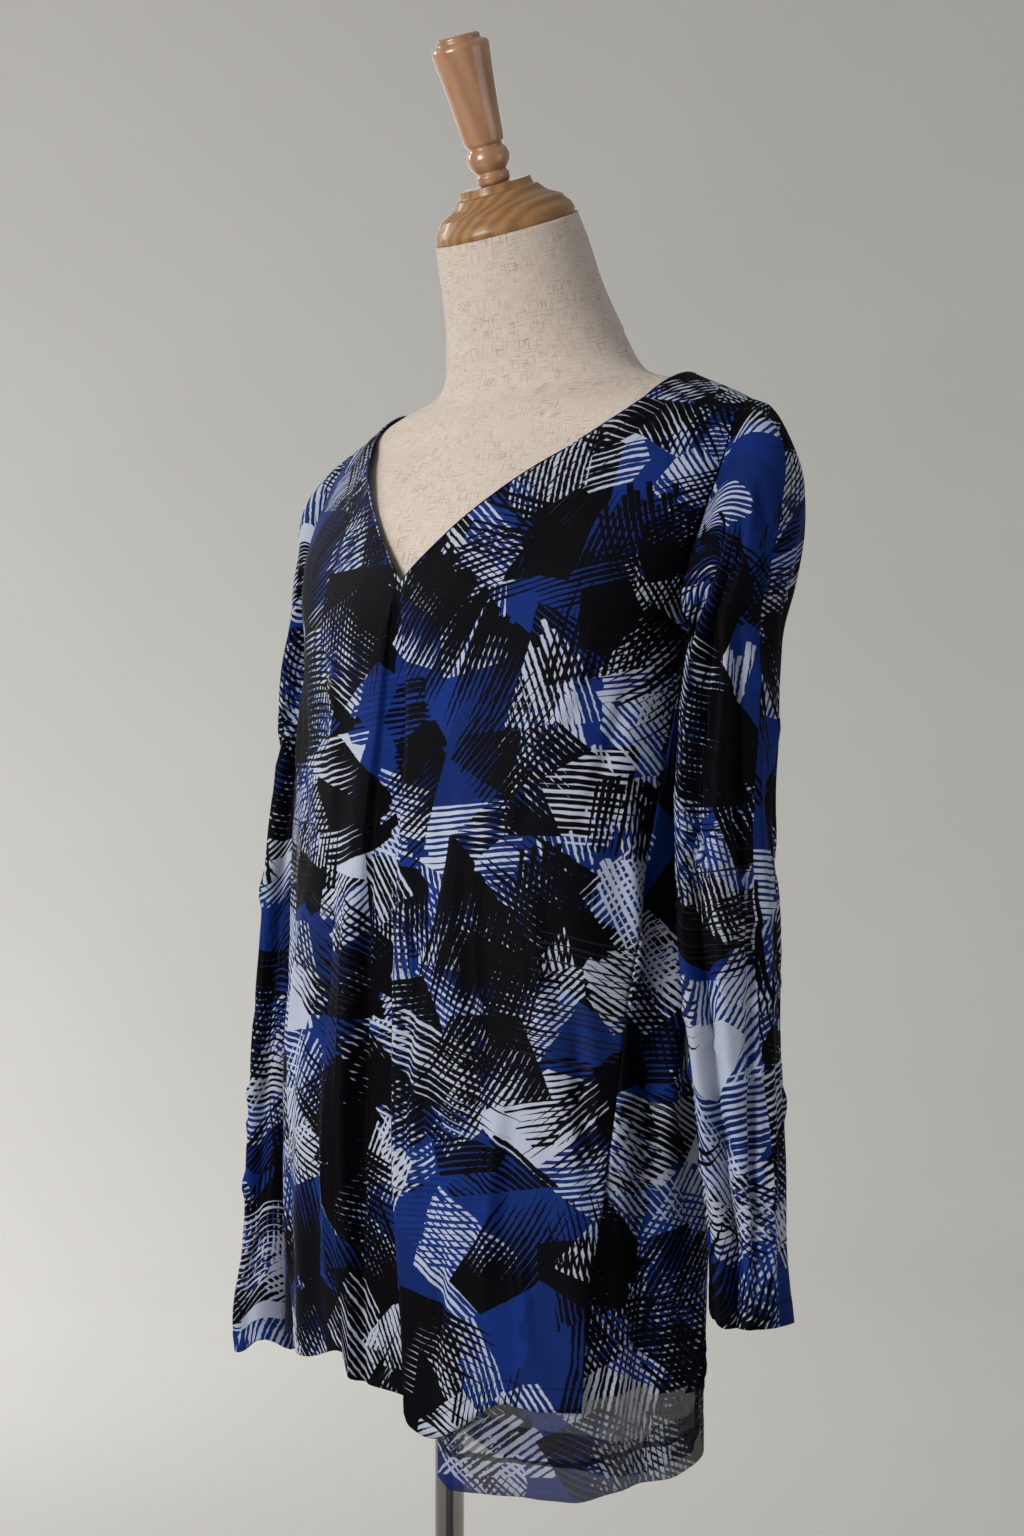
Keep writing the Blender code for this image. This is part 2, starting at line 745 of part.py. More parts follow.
def sleeve_ring_point(turn, length_share, side):
    # turn in degrees round the sleeve: 0 outside, 90 front, 180 inside, 270 back.
    table = [
        (k / (len(SLEEVE_RINGS) - 1), *row) for k, row in enumerate(SLEEVE_RINGS)
    ]
    left_z, right_z, x, left_y, right_y, half_x, half_y, tilt = smooth_read(
        table, length_share
    )
    height = left_z if side > 0 else right_z
    y = left_y if side > 0 else right_y
    cut = 0.0
    for at, half_width, depth, full, ends in SLEEVE_FOLDS:
        away = abs((turn - at + 180.0) % 360.0 - 180.0)
        if away < half_width:
            bell = 0.5 + 0.5 * math.cos(math.pi * away / half_width)
            grow = smooth_step(length_share / full)
            fade = SLEEVE_FOLD_FADE * smooth_step((length_share - ends) / SLEEVE_FOLD_TAIL + 1.0)
            cut += depth * bell * grow * (1.0 - fade)
    angle = math.radians(turn)
    out = math.cos(angle) * half_x
    front = math.sin(angle) * half_y
    radial = Vector((math.cos(angle), math.sin(angle), 0.0))
    out += radial.x * cut
    front += radial.y * cut
    standing = math.radians(tilt)
    return Vector((
        side * (x + out * math.cos(standing)),
        y - front,
        height + out * math.sin(standing) + cuff_lift(turn, length_share, side),
    ))


def cuff_lift(turn, length_share, side):
    total = 0.0
    for lifted_side, at, half_width, lift in CUFF_LIFTS:
        away = abs((turn - at + 180.0) % 360.0 - 180.0)
        if lifted_side == side and away < half_width:
            bell = 0.5 + 0.5 * math.cos(math.pi * away / half_width)
            total += lift * bell * smooth_step((length_share - CUFF_LIFT_FROM) / (1.0 - CUFF_LIFT_FROM))
    return total


def build_sleeve(name, side, material):
    edge = armhole_loop(side)
    ways = leaving_ways(edge)
    columns = len(edge)
    points = []
    seam_ways = {}
    for k, (point, away, outward, _) in enumerate(edge):
        flush = flush_share(away)
        seam_ways[k] = (outward * flush - away * (1.0 - flush)).normalized()
        points.append(point + away * SLEEVE_SEAM_GAP)
    for r in range(1, SLEEVE_ROW_STEPS + 1):
        length_share = (r - 1) / (SLEEVE_ROW_STEPS - 1)
        weight = smooth_step(r / SLEEVE_BLEND_ROWS)
        for (point, _, _, round_share), way in zip(edge, ways):
            free = sleeve_ring_point(360.0 * round_share, length_share, side)
            leave = point + way * (SLEEVE_LEAVE_STEP * r)
            points.append(leave.lerp(free, weight))
    faces = []
    for r in range(SLEEVE_ROW_STEPS):
        for k in range(columns):
            following = (k + 1) % columns
            corners = [
                r * columns + k,
                r * columns + following,
                (r + 1) * columns + following,
                (r + 1) * columns + k,
            ]
            faces.append(corners if side > 0 else corners[::-1])
    return cloth_object(name, points, faces, seam_ways, material)


def build_form(material):
    points = []
    for middle_y, height, half_width, half_depth, power, tilt in FORM_RINGS:
        lean = math.radians(tilt)
        for k in range(FORM_SEGMENTS):
            turn = 2.0 * math.pi * k / FORM_SEGMENTS
            x = half_width * signed_power(math.sin(turn), 2.0 / power)
            forward = half_depth * signed_power(math.cos(turn), 2.0 / power)
            points.append((
                x,
                middle_y - forward * math.cos(lean),
                height - forward * math.sin(lean),
            ))
    return ring_solid("dress_form", points, FORM_SEGMENTS, material)


def ring_solid(name, points, count, material):
    # A closed solid through level rings, from the bottom up.
    rings = len(points) // count
    faces = [list(range(count))[::-1]]
    for r in range(rings - 1):
        for k in range(count):
            following = (k + 1) % count
            faces.append([
                r * count + k,
                r * count + following,
                (r + 1) * count + following,
                (r + 1) * count + k,
            ])
    faces.append(list(range((rings - 1) * count, rings * count)))
    return add_solid(name, points, faces, material)


def turned_solid(name, profile, segments, material, place):
    points = []
    for radius, height in profile:
        for k in range(segments):
            turn = 2.0 * math.pi * k / segments
            points.append((radius * math.sin(turn), -radius * math.cos(turn), height))
    solid = ring_solid(name, points, segments, material)
    solid.matrix_world = place
    return solid


def build_stand(linen, cap_wood, finial_wood, chrome, base_metal):
    form = build_form(linen)
    lean = Matrix.Rotation(math.radians(NECK_LEAN_DEG), 4, "X")
    seat = Matrix.Translation(CAP_SEAT)
    lift = Matrix.Translation((0.0, 0.0, SEAM_GAP))
    turned_solid("neck_cap", CAP_PROFILE, TURNED_SEGMENTS, cap_wood, seat @ lean @ lift)
    on_cap = Matrix.Translation((0.0, 0.0, CAP_PROFILE[-1][1] + 2.0 * SEAM_GAP))
    turned_solid("finial", FINIAL_PROFILE, TURNED_SEGMENTS, finial_wood, seat @ lean @ on_cap)
    base_top = BASE_PROFILE[-1][1]
    form_bottom = FORM_RINGS[0][1]
    pole_profile = (
        (POLE_RADIUS, base_top + SEAM_GAP),
        (POLE_RADIUS, form_bottom - COLLAR_HEIGHT - COLLAR_TAPER),
        (COLLAR_RADIUS, form_bottom - COLLAR_HEIGHT),
        (COLLAR_RADIUS, form_bottom - SEAM_GAP),
    )
    turned_solid("pole", pole_profile, TURNED_SEGMENTS, chrome, Matrix.Identity(4))
    turned_solid("base", BASE_PROFILE, BASE_SEGMENTS, base_metal, Matrix.Identity(4))
    return form


def main():
    remove_everything()
    cloth = make_material("printed_mesh", (0.011, 0.034, 0.24), 0.75)
    linen = make_material("linen", (0.67, 0.60, 0.49), 0.9)
    cap_wood = make_material("oak", (0.55, 0.31, 0.12), 0.42)
    finial_wood = make_material("turned_wood", (0.50, 0.24, 0.12), 0.3)
    chrome = make_material("chrome", (0.72, 0.72, 0.72), 0.12, 1.0)
    base_metal = make_material("base_metal", (0.55, 0.55, 0.55), 0.25, 1.0)
    build_stand(linen, cap_wood, finial_wood, chrome, base_metal)
    build_panel("blouse_front", False, cloth)
    build_panel("blouse_back", True, cloth)
    build_sleeve("sleeve_left", 1, cloth)
    build_sleeve("sleeve_right", -1, cloth)


main()
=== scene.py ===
import bisect
import math

import bpy
from mathutils import Matrix, Vector, noise


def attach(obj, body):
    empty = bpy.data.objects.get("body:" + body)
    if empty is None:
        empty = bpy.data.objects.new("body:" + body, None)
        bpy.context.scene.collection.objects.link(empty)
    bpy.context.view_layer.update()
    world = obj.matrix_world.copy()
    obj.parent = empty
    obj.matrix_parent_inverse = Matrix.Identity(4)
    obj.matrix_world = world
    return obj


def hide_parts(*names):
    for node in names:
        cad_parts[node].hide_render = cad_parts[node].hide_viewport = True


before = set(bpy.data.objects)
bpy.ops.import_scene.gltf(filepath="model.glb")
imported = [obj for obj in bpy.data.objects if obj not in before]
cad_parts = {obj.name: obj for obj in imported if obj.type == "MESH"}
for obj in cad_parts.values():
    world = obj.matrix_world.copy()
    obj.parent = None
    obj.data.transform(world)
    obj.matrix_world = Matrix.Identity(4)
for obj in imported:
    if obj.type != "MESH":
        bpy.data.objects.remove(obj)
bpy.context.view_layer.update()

# Cloth
VISIBLE_WALL = 0.0007
SEAM_GAP = 0.0003
SLEEVE_SEAM_GAP = 0.0005

# Heights above the floor
UNDERARM_HEIGHT = 1.235
RIDGE_HEIGHT_AT_CENTRE = 1.4655
SHOULDER_SLOPE = 0.41
RIDGE_Y = 0.093
RIDGE_ROUND = 0.020

# Length of cloth that one level measures near the forward shoulder seam
SHOULDER_RISE = 0.120

# How round the upper front and the upper back turn over to the shoulder ridge
FRONT_ROUNDNESS = 1.5
BACK_ROUNDNESS = 2.3

# Half width of the blouse at the underarm
UNDERARM_HALF_WIDTH = 0.172

# Where the forward shoulder seam lies, as a level: 0 at the underarm, 1 on the ridge
SEAM_LEVEL_AT_NECK = 0.68
SEAM_LEVEL_AT_TIP = 0.80
V_POINT_LEVEL = 0.089
BACK_NECK_LEVEL = 0.452

# Height where the left side seam ends in a vent and the back begins to lap under the front
VENT_TOP = 0.860
LAP_DEPTH = 0.0050
LAP_BEGINS = 0.900
LAP_FULL = 0.820
LAP_FULL_DEGREES = 75.0
LAP_END_DEGREES = 95.0

# Mesh density: columns in each half of a panel, rows below and above the underarm
FRONT_COLUMNS = 15
BACK_COLUMNS = 15
LEVEL_ROWS = 9
HEM_ROWS = 6
LOWER_ROWS = LEVEL_ROWS + HEM_ROWS
FRONT_UPPER_ROWS = 10
BACK_UPPER_ROWS = 13

# Rounds of the search for a hem point's height, and how near two rows are the same
HEM_SEARCHES = 6
ROW_SLACK = 1e-9

# Steps for finding which way the cloth faces: degrees round the body, and level
TURN_STEP = 1.0
LEVEL_STEP = 0.01

# The blouse's level sections, from the lowest hem up to the underarm
# (height, half width, half depth, middle Y, power of the superellipse)
BODY_SECTIONS = (
    (0.59, 0.174, 0.108, 0.0365, 2.1), (0.72, 0.1755, 0.11, 0.0365, 2.1),
    (0.86, 0.176, 0.113, 0.0385, 2.2), (1, 0.1735, 0.114, 0.044, 2.3),
    (1.12, 0.172, 0.112, 0.052, 2.4), (1.19, 0.172, 0.11, 0.0575, 2.4),
    (1.235, 0.172, 0.1092, 0.0588, 2.4),
)

# Where the panels' side edges run, as degrees from the centre front
# (height, left edge of the front, left edge of the back, both edges on the right)
SIDE_EDGES = (
    (0.59, 58, 20, 112), (0.7, 59.5, 20, 112), (0.74, 60.5, 30, 111), (0.8, 62.5, 52, 109),
    (0.86, 67, 67, 107), (0.9, 69.5, 69.5, 105), (1.235, 90, 90, 90),
)

# Front hem (degrees from the centre front, + to the wearer's left; height)
FRONT_HEM = (
    (-112, 0.718), (-90, 0.728), (-57, 0.735), (-25, 0.733), (-8.8, 0.744), (-7.4, 0.731),
    (-6.2, 0.7245), (-4, 0.7215), (4, 0.7205), (7.2, 0.7195), (10.5, 0.716), (12.5, 0.704),
    (19, 0.698), (28, 0.709), (38, 0.726), (48, 0.723), (60, 0.724),
)

# Back tail's hem (degrees from the centre front the long way round by the left; height)
BACK_HEM = (
    (20, 0.673), (24, 0.6665), (57, 0.6645), (66, 0.668), (78, 0.672), (92, 0.6755), (106, 0.688),
    (123, 0.697), (140, 0.672), (155, 0.65), (165, 0.638), (180, 0.628), (195, 0.626), (210, 0.63),
    (225, 0.648), (235, 0.672), (248, 0.7),
)

# Half width of the blouse above the underarm (level, half width)
UPPER_WIDTHS = (
    (0, UNDERARM_HALF_WIDTH), (0.12, 0.184), (0.3, 0.197), (0.5, 0.202), (0.8, 0.2035), (1, 0.207),
)

# Neck edge, as how far from the centre the cloth begins at each level
# (level, X on the left, X on the right)
FRONT_NECK_EDGE = (
    (V_POINT_LEVEL, 0, 0), (0.2, 0.038, 0.036), (0.33, 0.078, 0.072), (0.456, 0.109, 0.102),
    (0.6, 0.129, 0.126), (0.68, 0.135, 0.136),
)
BACK_NECK_EDGE = (
    (BACK_NECK_LEVEL, 0, 0), (0.475, 0.04, 0.044), (0.53, 0.073, 0.08), (0.64, 0.103, 0.113),
    (0.8, 0.125, 0.138), (1, 0.139, 0.149), (1.32, 0.135, 0.136),
)

# Armhole edge, as degrees from the panel's centre (level, degrees)
FRONT_ARM_EDGE = (
    (0, 90), (0.04, 86), (0.12, 83), (0.3, 81), (0.5, 80.5), (0.8, 75),
)
BACK_ARM_EDGE = (
    (0, 90), (0.04, 86), (0.12, 82), (0.3, 79), (0.6, 77), (0.85, 73.5), (1, 71.7), (1.1, 72.7),
    (1.2, 75),
)

# Soft folds of the body: a ridge or, with a negative depth, a trough
# (degrees, half width in degrees, depth, height where it begins, height where it is full)
BODY_FOLDS = (
    (-72, 11, 0.006, 1.2, 0.86), (-46, 10, -0.008, 1.24, 0.9), (-27, 9, 0.005, 1.18, 0.82),
    (26, 8, 0.005, 1.1, 0.78), (42, 8, -0.004, 1.02, 0.8), (60, 10, 0.005, 1.16, 0.84),
    (82, 10, -0.007, 1.18, 0.86), (103, 10, 0.006, 1.14, 0.82), (124, 10, -0.006, 1.18, 0.8),
    (147, 11, 0.007, 1.18, 0.8), (168, 10, -0.007, 1.24, 0.86), (188, 11, 0.006, 1.16, 0.78),
    (208, 10, -0.007, 1.2, 0.82), (229, 11, 0.007, 1.14, 0.8), (252, 11, -0.007, 1.2, 0.84),
)

# Inverted centre pleat: trough between two fold edges (height, middle X, half width, depth)
CENTRE_PLEAT = (
    (0.59, 0.007, 0.028, 0.013), (0.74, 0.0065, 0.0275, 0.0125), (0.9, 0, 0.026, 0.011),
    (1.06, 0, 0.0215, 0.0095), (1.18, 0, 0.015, 0.0065), (1.235, 0, 0.008, 0.0035),
    (1.262, 0, 0.004, 0),
)
PLEAT_WALL_SHARE = 0.15

# Columns across half of the pleat, from its middle to its fold edge, and the share of the
# panel's width that they take
PLEAT_COLUMNS = (0.0, 0.55, 0.775, 1.0)
PLEAT_SHARE = 0.14

# Above the underarm the columns spread out again over this many levels
PLEAT_RISE_PER_LEVEL = 0.25
PLEAT_SPREAD_LEVELS = 0.5

# Gathers that fall from each forward shoulder seam
GATHER_WAVES = 4
GATHER_DEPTH = 0.0013
GATHER_LEVELS = 0.42
GATHER_START = 0.08

# Sleeves, from the armhole to the cuff. Tilt turns the ring from level to standing.
# (left height, right height, X from centre, left Y, right Y, half thickness, half width, tilt)
SLEEVE_RINGS = (
    (1.31, 1.31, 0.2102, 0.083, 0.081, 0.0685, 0.036, 78),
    (1.288, 1.286, 0.217, 0.08, 0.08, 0.058, 0.037, 68),
    (1.256, 1.252, 0.215, 0.073, 0.072, 0.0405, 0.039, 58),
    (1.217, 1.209, 0.2115, 0.059, 0.063, 0.0285, 0.043, 38),
    (1.168, 1.156, 0.209, 0.057, 0.06, 0.025, 0.045, 14),
    (1.105, 1.088, 0.213, 0.049, 0.055, 0.023, 0.046, 0),
    (1.035, 1.012, 0.216, 0.049, 0.049, 0.0225, 0.045, 0),
    (0.96, 0.93, 0.219, 0.052, 0.039, 0.022, 0.041, 0),
    (0.885, 0.845, 0.223, 0.056, 0.032, 0.0215, 0.036, 0),
    (0.83, 0.775, 0.226, 0.058, 0.026, 0.021, 0.032, 0),
    (0.8, 0.733, 0.228, 0.058, 0.021, 0.0215, 0.033, 0),
    (0.782, 0.705, 0.2285, 0.0585, 0.025, 0.022, 0.034, 0),
)

# Where each cuff's edge rides up (side, degrees round the sleeve, half width, lift)
CUFF_LIFTS = (
    (1, 118, 42, 0.017), (-1, 140, 45, 0.01),
)
CUFF_LIFT_FROM = 0.88
SLEEVE_ROW_STEPS = 17
SLEEVE_BLEND_ROWS = 3.0

# How far each row leaves the armhole's edge before it joins the free sleeve
SLEEVE_LEAVE_STEP = 0.010

# The sleeve goes on flush with the panel where the way past the armhole's edge points
# sideways by FLUSH_FULL of its length, and stands off it where that is under FLUSH_FROM
FLUSH_FROM = 0.45
FLUSH_FULL = 0.85
WAY_SMOOTHINGS = 6

# Long folds of the sleeves (degrees round the sleeve: 0 outside, 90 front, 180 inside;
# half width, depth, share of the length where it is full, share where it ends)
SLEEVE_FOLDS = (
    (62, 26, -0.015, 0.3, 1.1), (118, 22, -0.008, 0.25, 0.9), (205, 28, -0.01, 0.3, 1.1),
    (305, 24, -0.009, 0.35, 1.05),
)
SLEEVE_FOLD_FADE = 0.6
SLEEVE_FOLD_TAIL = 0.25

# Dress form, from the flat bottom to the top of the neck
# (middle Y, height, half width, half depth, power, forward tilt in degrees)
FORM_RINGS = (
    (0.046, 0.742, 0.12, 0.072, 2.2, 0), (0.046, 0.752, 0.134, 0.084, 2.2, 0),
    (0.046, 0.8, 0.148, 0.092, 2.2, 0), (0.048, 0.87, 0.146, 0.092, 2.2, 0),
    (0.054, 0.95, 0.128, 0.084, 2.1, 0), (0.057, 1.02, 0.117, 0.08, 2.1, 0),
    (0.056, 1.09, 0.13, 0.089, 2.2, 0), (0.055, 1.15, 0.147, 0.096, 2.3, 0),
    (0.0585, 1.21, 0.153, 0.099, 2.4, 0), (0.062, 1.26, 0.156, 0.1, 2.3, 0),
    (0.0665, 1.31, 0.164, 0.0925, 2.1, 0), (0.0735, 1.345, 0.172, 0.081, 1.8, 0),
    (0.079, 1.372, 0.183, 0.0705, 1.5, 0), (0.085, 1.3908, 0.166, 0.0685, 1.45, 3),
    (0.0875, 1.4021, 0.1409, 0.066, 1.4, 6), (0.087, 1.41, 0.106, 0.0645, 1.5, 8),
    (0.086, 1.42, 0.082, 0.064, 1.8, 11), (0.08, 1.442, 0.066, 0.061, 2, 15),
    (0.07, 1.47, 0.058, 0.0565, 2, 19), (0.061, 1.498, 0.0545, 0.054, 2, 20),
    (0.0535, 1.5185, 0.0515, 0.0515, 2, 20),
)

# Neck cap and finial lean forward with the neck. Profiles: (radius, height)
NECK_LEAN_DEG = 20.0
CAP_SEAT = (0.0, 0.0535, 1.5185)
CAP_PROFILE = (
    (0.05, 0), (0.0505, 0.0025), (0.049, 0.0075), (0.0455, 0.012), (0.044, 0.0145), (0.04, 0.017),
    (0.0345, 0.02), (0.031, 0.0237), (0.0295, 0.0256), (0.0265, 0.0269), (0.0255, 0.032),
)
FINIAL_PROFILE = (
    (0.01, 0), (0.0115, 0.0018), (0.012, 0.0055), (0.0105, 0.0082), (0.0125, 0.0105),
    (0.0148, 0.0146), (0.0153, 0.0182), (0.0143, 0.0223), (0.012, 0.0255), (0.0122, 0.0268),
    (0.0138, 0.0282), (0.0145, 0.032), (0.016, 0.051), (0.0182, 0.0728), (0.0202, 0.0892),
    (0.0206, 0.0937), (0.0196, 0.0969), (0.0168, 0.0983), (0.0158, 0.0987), (0.0156, 0.102),
    (0.014, 0.1033),
)

# Pole and base
POLE_RADIUS = 0.010
COLLAR_RADIUS = 0.024
COLLAR_HEIGHT = 0.006
COLLAR_TAPER = 0.004
BASE_RADIUS = 0.155
BASE_PROFILE = (
    (BASE_RADIUS - 0.002, 0), (BASE_RADIUS, 0.0015), (BASE_RADIUS, 0.006),
    (BASE_RADIUS - 0.004, 0.0085), (0.03, 0.011), (0.022, 0.014), (0.018, 0.028), (0.016, 0.03),
)

# How much finer the grids here are than the solids'
COLUMN_STEPS = 5
ROW_STEPS = 6
LOOP_STEPS = 4
SLEEVE_STEPS = 7

# Small creases of the body. Tilt turns the crease's length from upright
# towards the wearer's left.
# (degrees, height, tilt, half length, half width, depth)
BODY_WRINKLES = (
    (-9.8, 0.95, 0, 0.26, 0.008, 0.003), (-6.6, 0.94, 0, 0.21, 0.006, -0.003),
    (9.6, 0.95, -1.9, 0.25, 0.008, 0.003), (52, 1.18, 24, 0.075, 0.01, 0.0032),
    (66, 1.15, 18, 0.085, 0.011, -0.0034), (40, 1.12, 14, 0.09, 0.012, 0.0026),
    (24, 1.08, 5, 0.12, 0.011, 0.0026), (30, 1, -4, 0.12, 0.012, -0.0028),
    (15.5, 0.92, 2, 0.13, 0.009, 0.003), (50, 0.985, -10, 0.11, 0.013, 0.0034),
    (61, 0.93, -6, 0.1, 0.011, -0.0034), (36, 0.86, 6, 0.1, 0.01, 0.003),
    (44, 0.8, -6, 0.07, 0.009, 0.0028), (22, 0.79, 4, 0.07, 0.009, -0.0026),
    (-22, 1.17, -10, 0.09, 0.01, 0.0026), (-38, 1.13, -18, 0.09, 0.012, -0.0034),
    (-55, 1.17, -26, 0.08, 0.011, 0.0036), (-18, 1.02, 3, 0.13, 0.01, -0.0028),
    (-33, 0.96, 5, 0.12, 0.011, 0.0032), (-58, 0.96, 8, 0.11, 0.012, -0.0036),
    (-15, 0.86, -2, 0.11, 0.009, 0.003), (-40, 0.83, -5, 0.09, 0.01, 0.0032),
    (-70, 1.06, 10, 0.11, 0.012, 0.0034), (-84, 0.94, 4, 0.12, 0.011, 0.0034),
    (-97, 1.08, -6, 0.11, 0.012, -0.0036), (76, 1.06, -8, 0.11, 0.012, 0.0036),
    (90, 0.96, 5, 0.12, 0.012, 0.0036), (98, 1.12, 12, 0.09, 0.011, -0.0034),
    (112, 1.01, 3, 0.13, 0.012, 0.0034), (118, 0.86, -6, 0.1, 0.011, 0.0034),
    (130, 1.09, 16, 0.1, 0.012, 0.0034), (139, 0.93, -4, 0.12, 0.012, 0.0034),
    (152, 1.14, 14, 0.1, 0.012, -0.0034), (160, 0.98, 4, 0.13, 0.012, 0.0036),
    (174, 1.08, -5, 0.13, 0.012, 0.0036), (181, 0.86, 3, 0.12, 0.011, 0.0034),
    (194, 1.12, -10, 0.11, 0.012, 0.0034), (201, 0.95, 4, 0.13, 0.012, 0.0036),
    (216, 1.06, -12, 0.11, 0.012, 0.0036), (222, 0.88, 5, 0.11, 0.011, 0.0034),
    (238, 1.12, -16, 0.1, 0.012, 0.0034), (243, 0.96, 4, 0.12, 0.012, 0.0034),
    (150, 0.74, 4, 0.06, 0.01, 0.0036), (168, 0.73, -4, 0.06, 0.01, -0.0034),
    (190, 0.73, 3, 0.06, 0.01, 0.0036), (212, 0.74, -5, 0.06, 0.01, -0.0034),
    (230, 0.76, 3, 0.06, 0.01, 0.0036), (70, 0.72, 12, 0.045, 0.008, 0.0028),
    (44, 0.7, -14, 0.04, 0.008, 0.0028), (100, 0.74, 6, 0.05, 0.009, 0.0034),
    (168, 1.33, 80, 0.06, 0.01, 0.0026), (192, 1.32, 100, 0.06, 0.01, 0.0026),
    (150, 1.28, 40, 0.07, 0.011, 0.003), (210, 1.28, -40, 0.07, 0.011, 0.003),
)
BODY_ARC_RADIUS = 0.150

# The creases deepen where the cloth hangs free of the form
FREE_BELOW = 1.130
FREE_RISE = 0.160
FREE_DEEPER = 1.0

# Small creases of the sleeves. Tilt turns the crease from level, up
# towards the growing turn.
# (side, degrees round the sleeve, height, tilt, half length, half width, depth)
SLEEVE_WRINKLES = (
    (1, 14, 1.12, 86.6, 0.18, 0.007, -0.008), (1, 18, 0.9, 94.6, 0.17, 0.007, -0.008),
    (1, 352, 1.1, 86.6, 0.18, 0.009, 0.004), (1, 356, 0.89, 94.6, 0.16, 0.009, 0.004),
    (1, 60, 1.1, 88, 0.17, 0.011, 0.004), (-1, 40, 1.05, 88, 0.2, 0.008, -0.006),
    (-1, 320, 1.05, 92, 0.2, 0.008, -0.006), (1, 20, 1.3, 62, 0.055, 0.01, -0.0034),
    (1, 52, 1.25, 74, 0.07, 0.009, 0.0036), (1, 84, 1.21, 66, 0.06, 0.009, -0.0036),
    (1, 30, 1.13, 40, 0.05, 0.009, 0.0034), (1, 66, 1.09, 58, 0.055, 0.009, 0.0034),
    (1, 100, 1.06, 50, 0.05, 0.009, -0.0032), (1, 10, 1.04, -28, 0.045, 0.009, 0.0032),
    (1, 40, 1, 24, 0.045, 0.008, -0.0034), (1, 78, 0.975, 34, 0.045, 0.008, 0.0034),
    (1, 20, 0.94, -32, 0.05, 0.009, 0.0034), (1, 58, 0.905, 42, 0.05, 0.008, -0.0034),
    (1, 96, 0.885, 40, 0.045, 0.008, 0.0032), (1, 30, 0.855, 52, 0.045, 0.008, 0.0034),
    (1, 70, 0.835, 68, 0.04, 0.008, 0.0032), (1, 330, 1, -30, 0.055, 0.01, 0.0034),
    (1, 300, 0.93, 40, 0.055, 0.01, 0.0034), (1, 340, 1.18, 55, 0.06, 0.01, 0.0034),
    (1, 270, 1.06, 60, 0.055, 0.01, -0.0034), (1, 240, 0.96, -45, 0.05, 0.01, 0.0034),
    (1, 200, 1.02, 60, 0.055, 0.01, 0.0032), (1, 160, 0.93, -50, 0.05, 0.01, 0.0032),
    (-1, 24, 1.28, 62, 0.055, 0.01, -0.0034), (-1, 60, 1.23, 70, 0.07, 0.009, 0.0036),
    (-1, 90, 1.16, 60, 0.06, 0.009, -0.0034), (-1, 40, 1.09, 38, 0.05, 0.009, 0.0034),
    (-1, 76, 1.04, 52, 0.055, 0.009, 0.0034), (-1, 20, 0.99, -30, 0.045, 0.009, 0.0034),
    (-1, 56, 0.95, 26, 0.05, 0.008, -0.0034), (-1, 92, 0.9, 36, 0.045, 0.008, 0.0034),
    (-1, 40, 0.87, -30, 0.05, 0.009, 0.0034), (-1, 74, 0.82, 48, 0.045, 0.008, 0.0034),
    (-1, 110, 0.79, 60, 0.04, 0.008, 0.0032), (-1, 330, 0.98, -34, 0.055, 0.01, 0.0034),
    (-1, 290, 0.9, 40, 0.055, 0.01, 0.0034), (-1, 340, 1.14, 55, 0.06, 0.01, 0.0034),
    (-1, 250, 1.02, 60, 0.055, 0.01, -0.0034), (-1, 210, 0.88, -45, 0.05, 0.01, 0.0034),
    (-1, 170, 0.96, 55, 0.055, 0.01, 0.0032),
)
SLEEVE_ARC_RADIUS = 0.042
SLEEVE_FADE_ROWS = 2.5

# Uneven lie of the cloth: size of the waves per metre and their height
BROAD_WAVES = (13.0, 0.0016)
SMALL_WAVES = (46.0, 0.0004)

# Where the print starts on each piece, so that it doesn't match across the seams
PRINT_STARTS = {
    "blouse_front": (2.096, -0.159),
    "blouse_back": (1.157, -0.026),
    "sleeve_left": (2.051, 0.650),
    "sleeve_right": (3.83, 0.71),
}

# Where on the upper back the print's height along the cloth is measured, and how far up
PRINT_ARC_ANGLE = 35.0
PRINT_ARC_LEVELS = 1.4
PRINT_ARC_STEPS = 60

# Turned-up hems, and the sheer single layer of the tail above its doubled hem
TAIL_BAND = 0.024
FRONT_BAND = 0.012
CUFF_BAND = 0.015
BAND_RISE = 0.0005
BAND_EDGE = 0.002
SHEER_BELOW = 0.7360
SHEER_ALPHA = 0.45
DOUBLED_ALPHA = 0.70

# The neck's edge in four parts (side, on the back panel, upward)
NECK_PARTS = ((1, False, True), (1, True, False), (-1, True, True), (-1, False, False))
NECK_ROLL_RADIUS = 0.0007
NECK_ROLL_SEGMENTS = 8

# Finer rounds of the stand
FORM_ROUND = 96
FORM_ROWS = 150
FORM_UNDER_CLOTH = 0.001
FORM_BARE_ABOVE = 1.44
TURNED_ROUND = 96
TURNED_ROWS = 240

SLEEVE_TABLE = tuple((k / (len(SLEEVE_RINGS) - 1), *row) for k, row in enumerate(SLEEVE_RINGS))
FORM_TABLE = tuple((k, *row) for k, row in enumerate(FORM_RINGS))
TRIM_DEG = math.degrees(0.5 * SEAM_GAP / UNDERARM_HALF_WIDTH)
PREPARED_TABLES = {}


def prepare_table(table):
    places = [float(row[0]) for row in table]
    values = [row[1:] for row in table]
    slopes = []
    for k in range(len(places) - 1):
        step = places[k + 1] - places[k]
        slopes.append([(b - a) / step for a, b in zip(values[k], values[k + 1])])
    tangents = [slopes[0]]
    for before, after in zip(slopes, slopes[1:]):
        both = zip(before, after)
        tangents.append([2.0 * a * b / (a + b) if a * b > 0.0 else 0.0 for a, b in both])
    return places, values, tangents + [slopes[-1]]


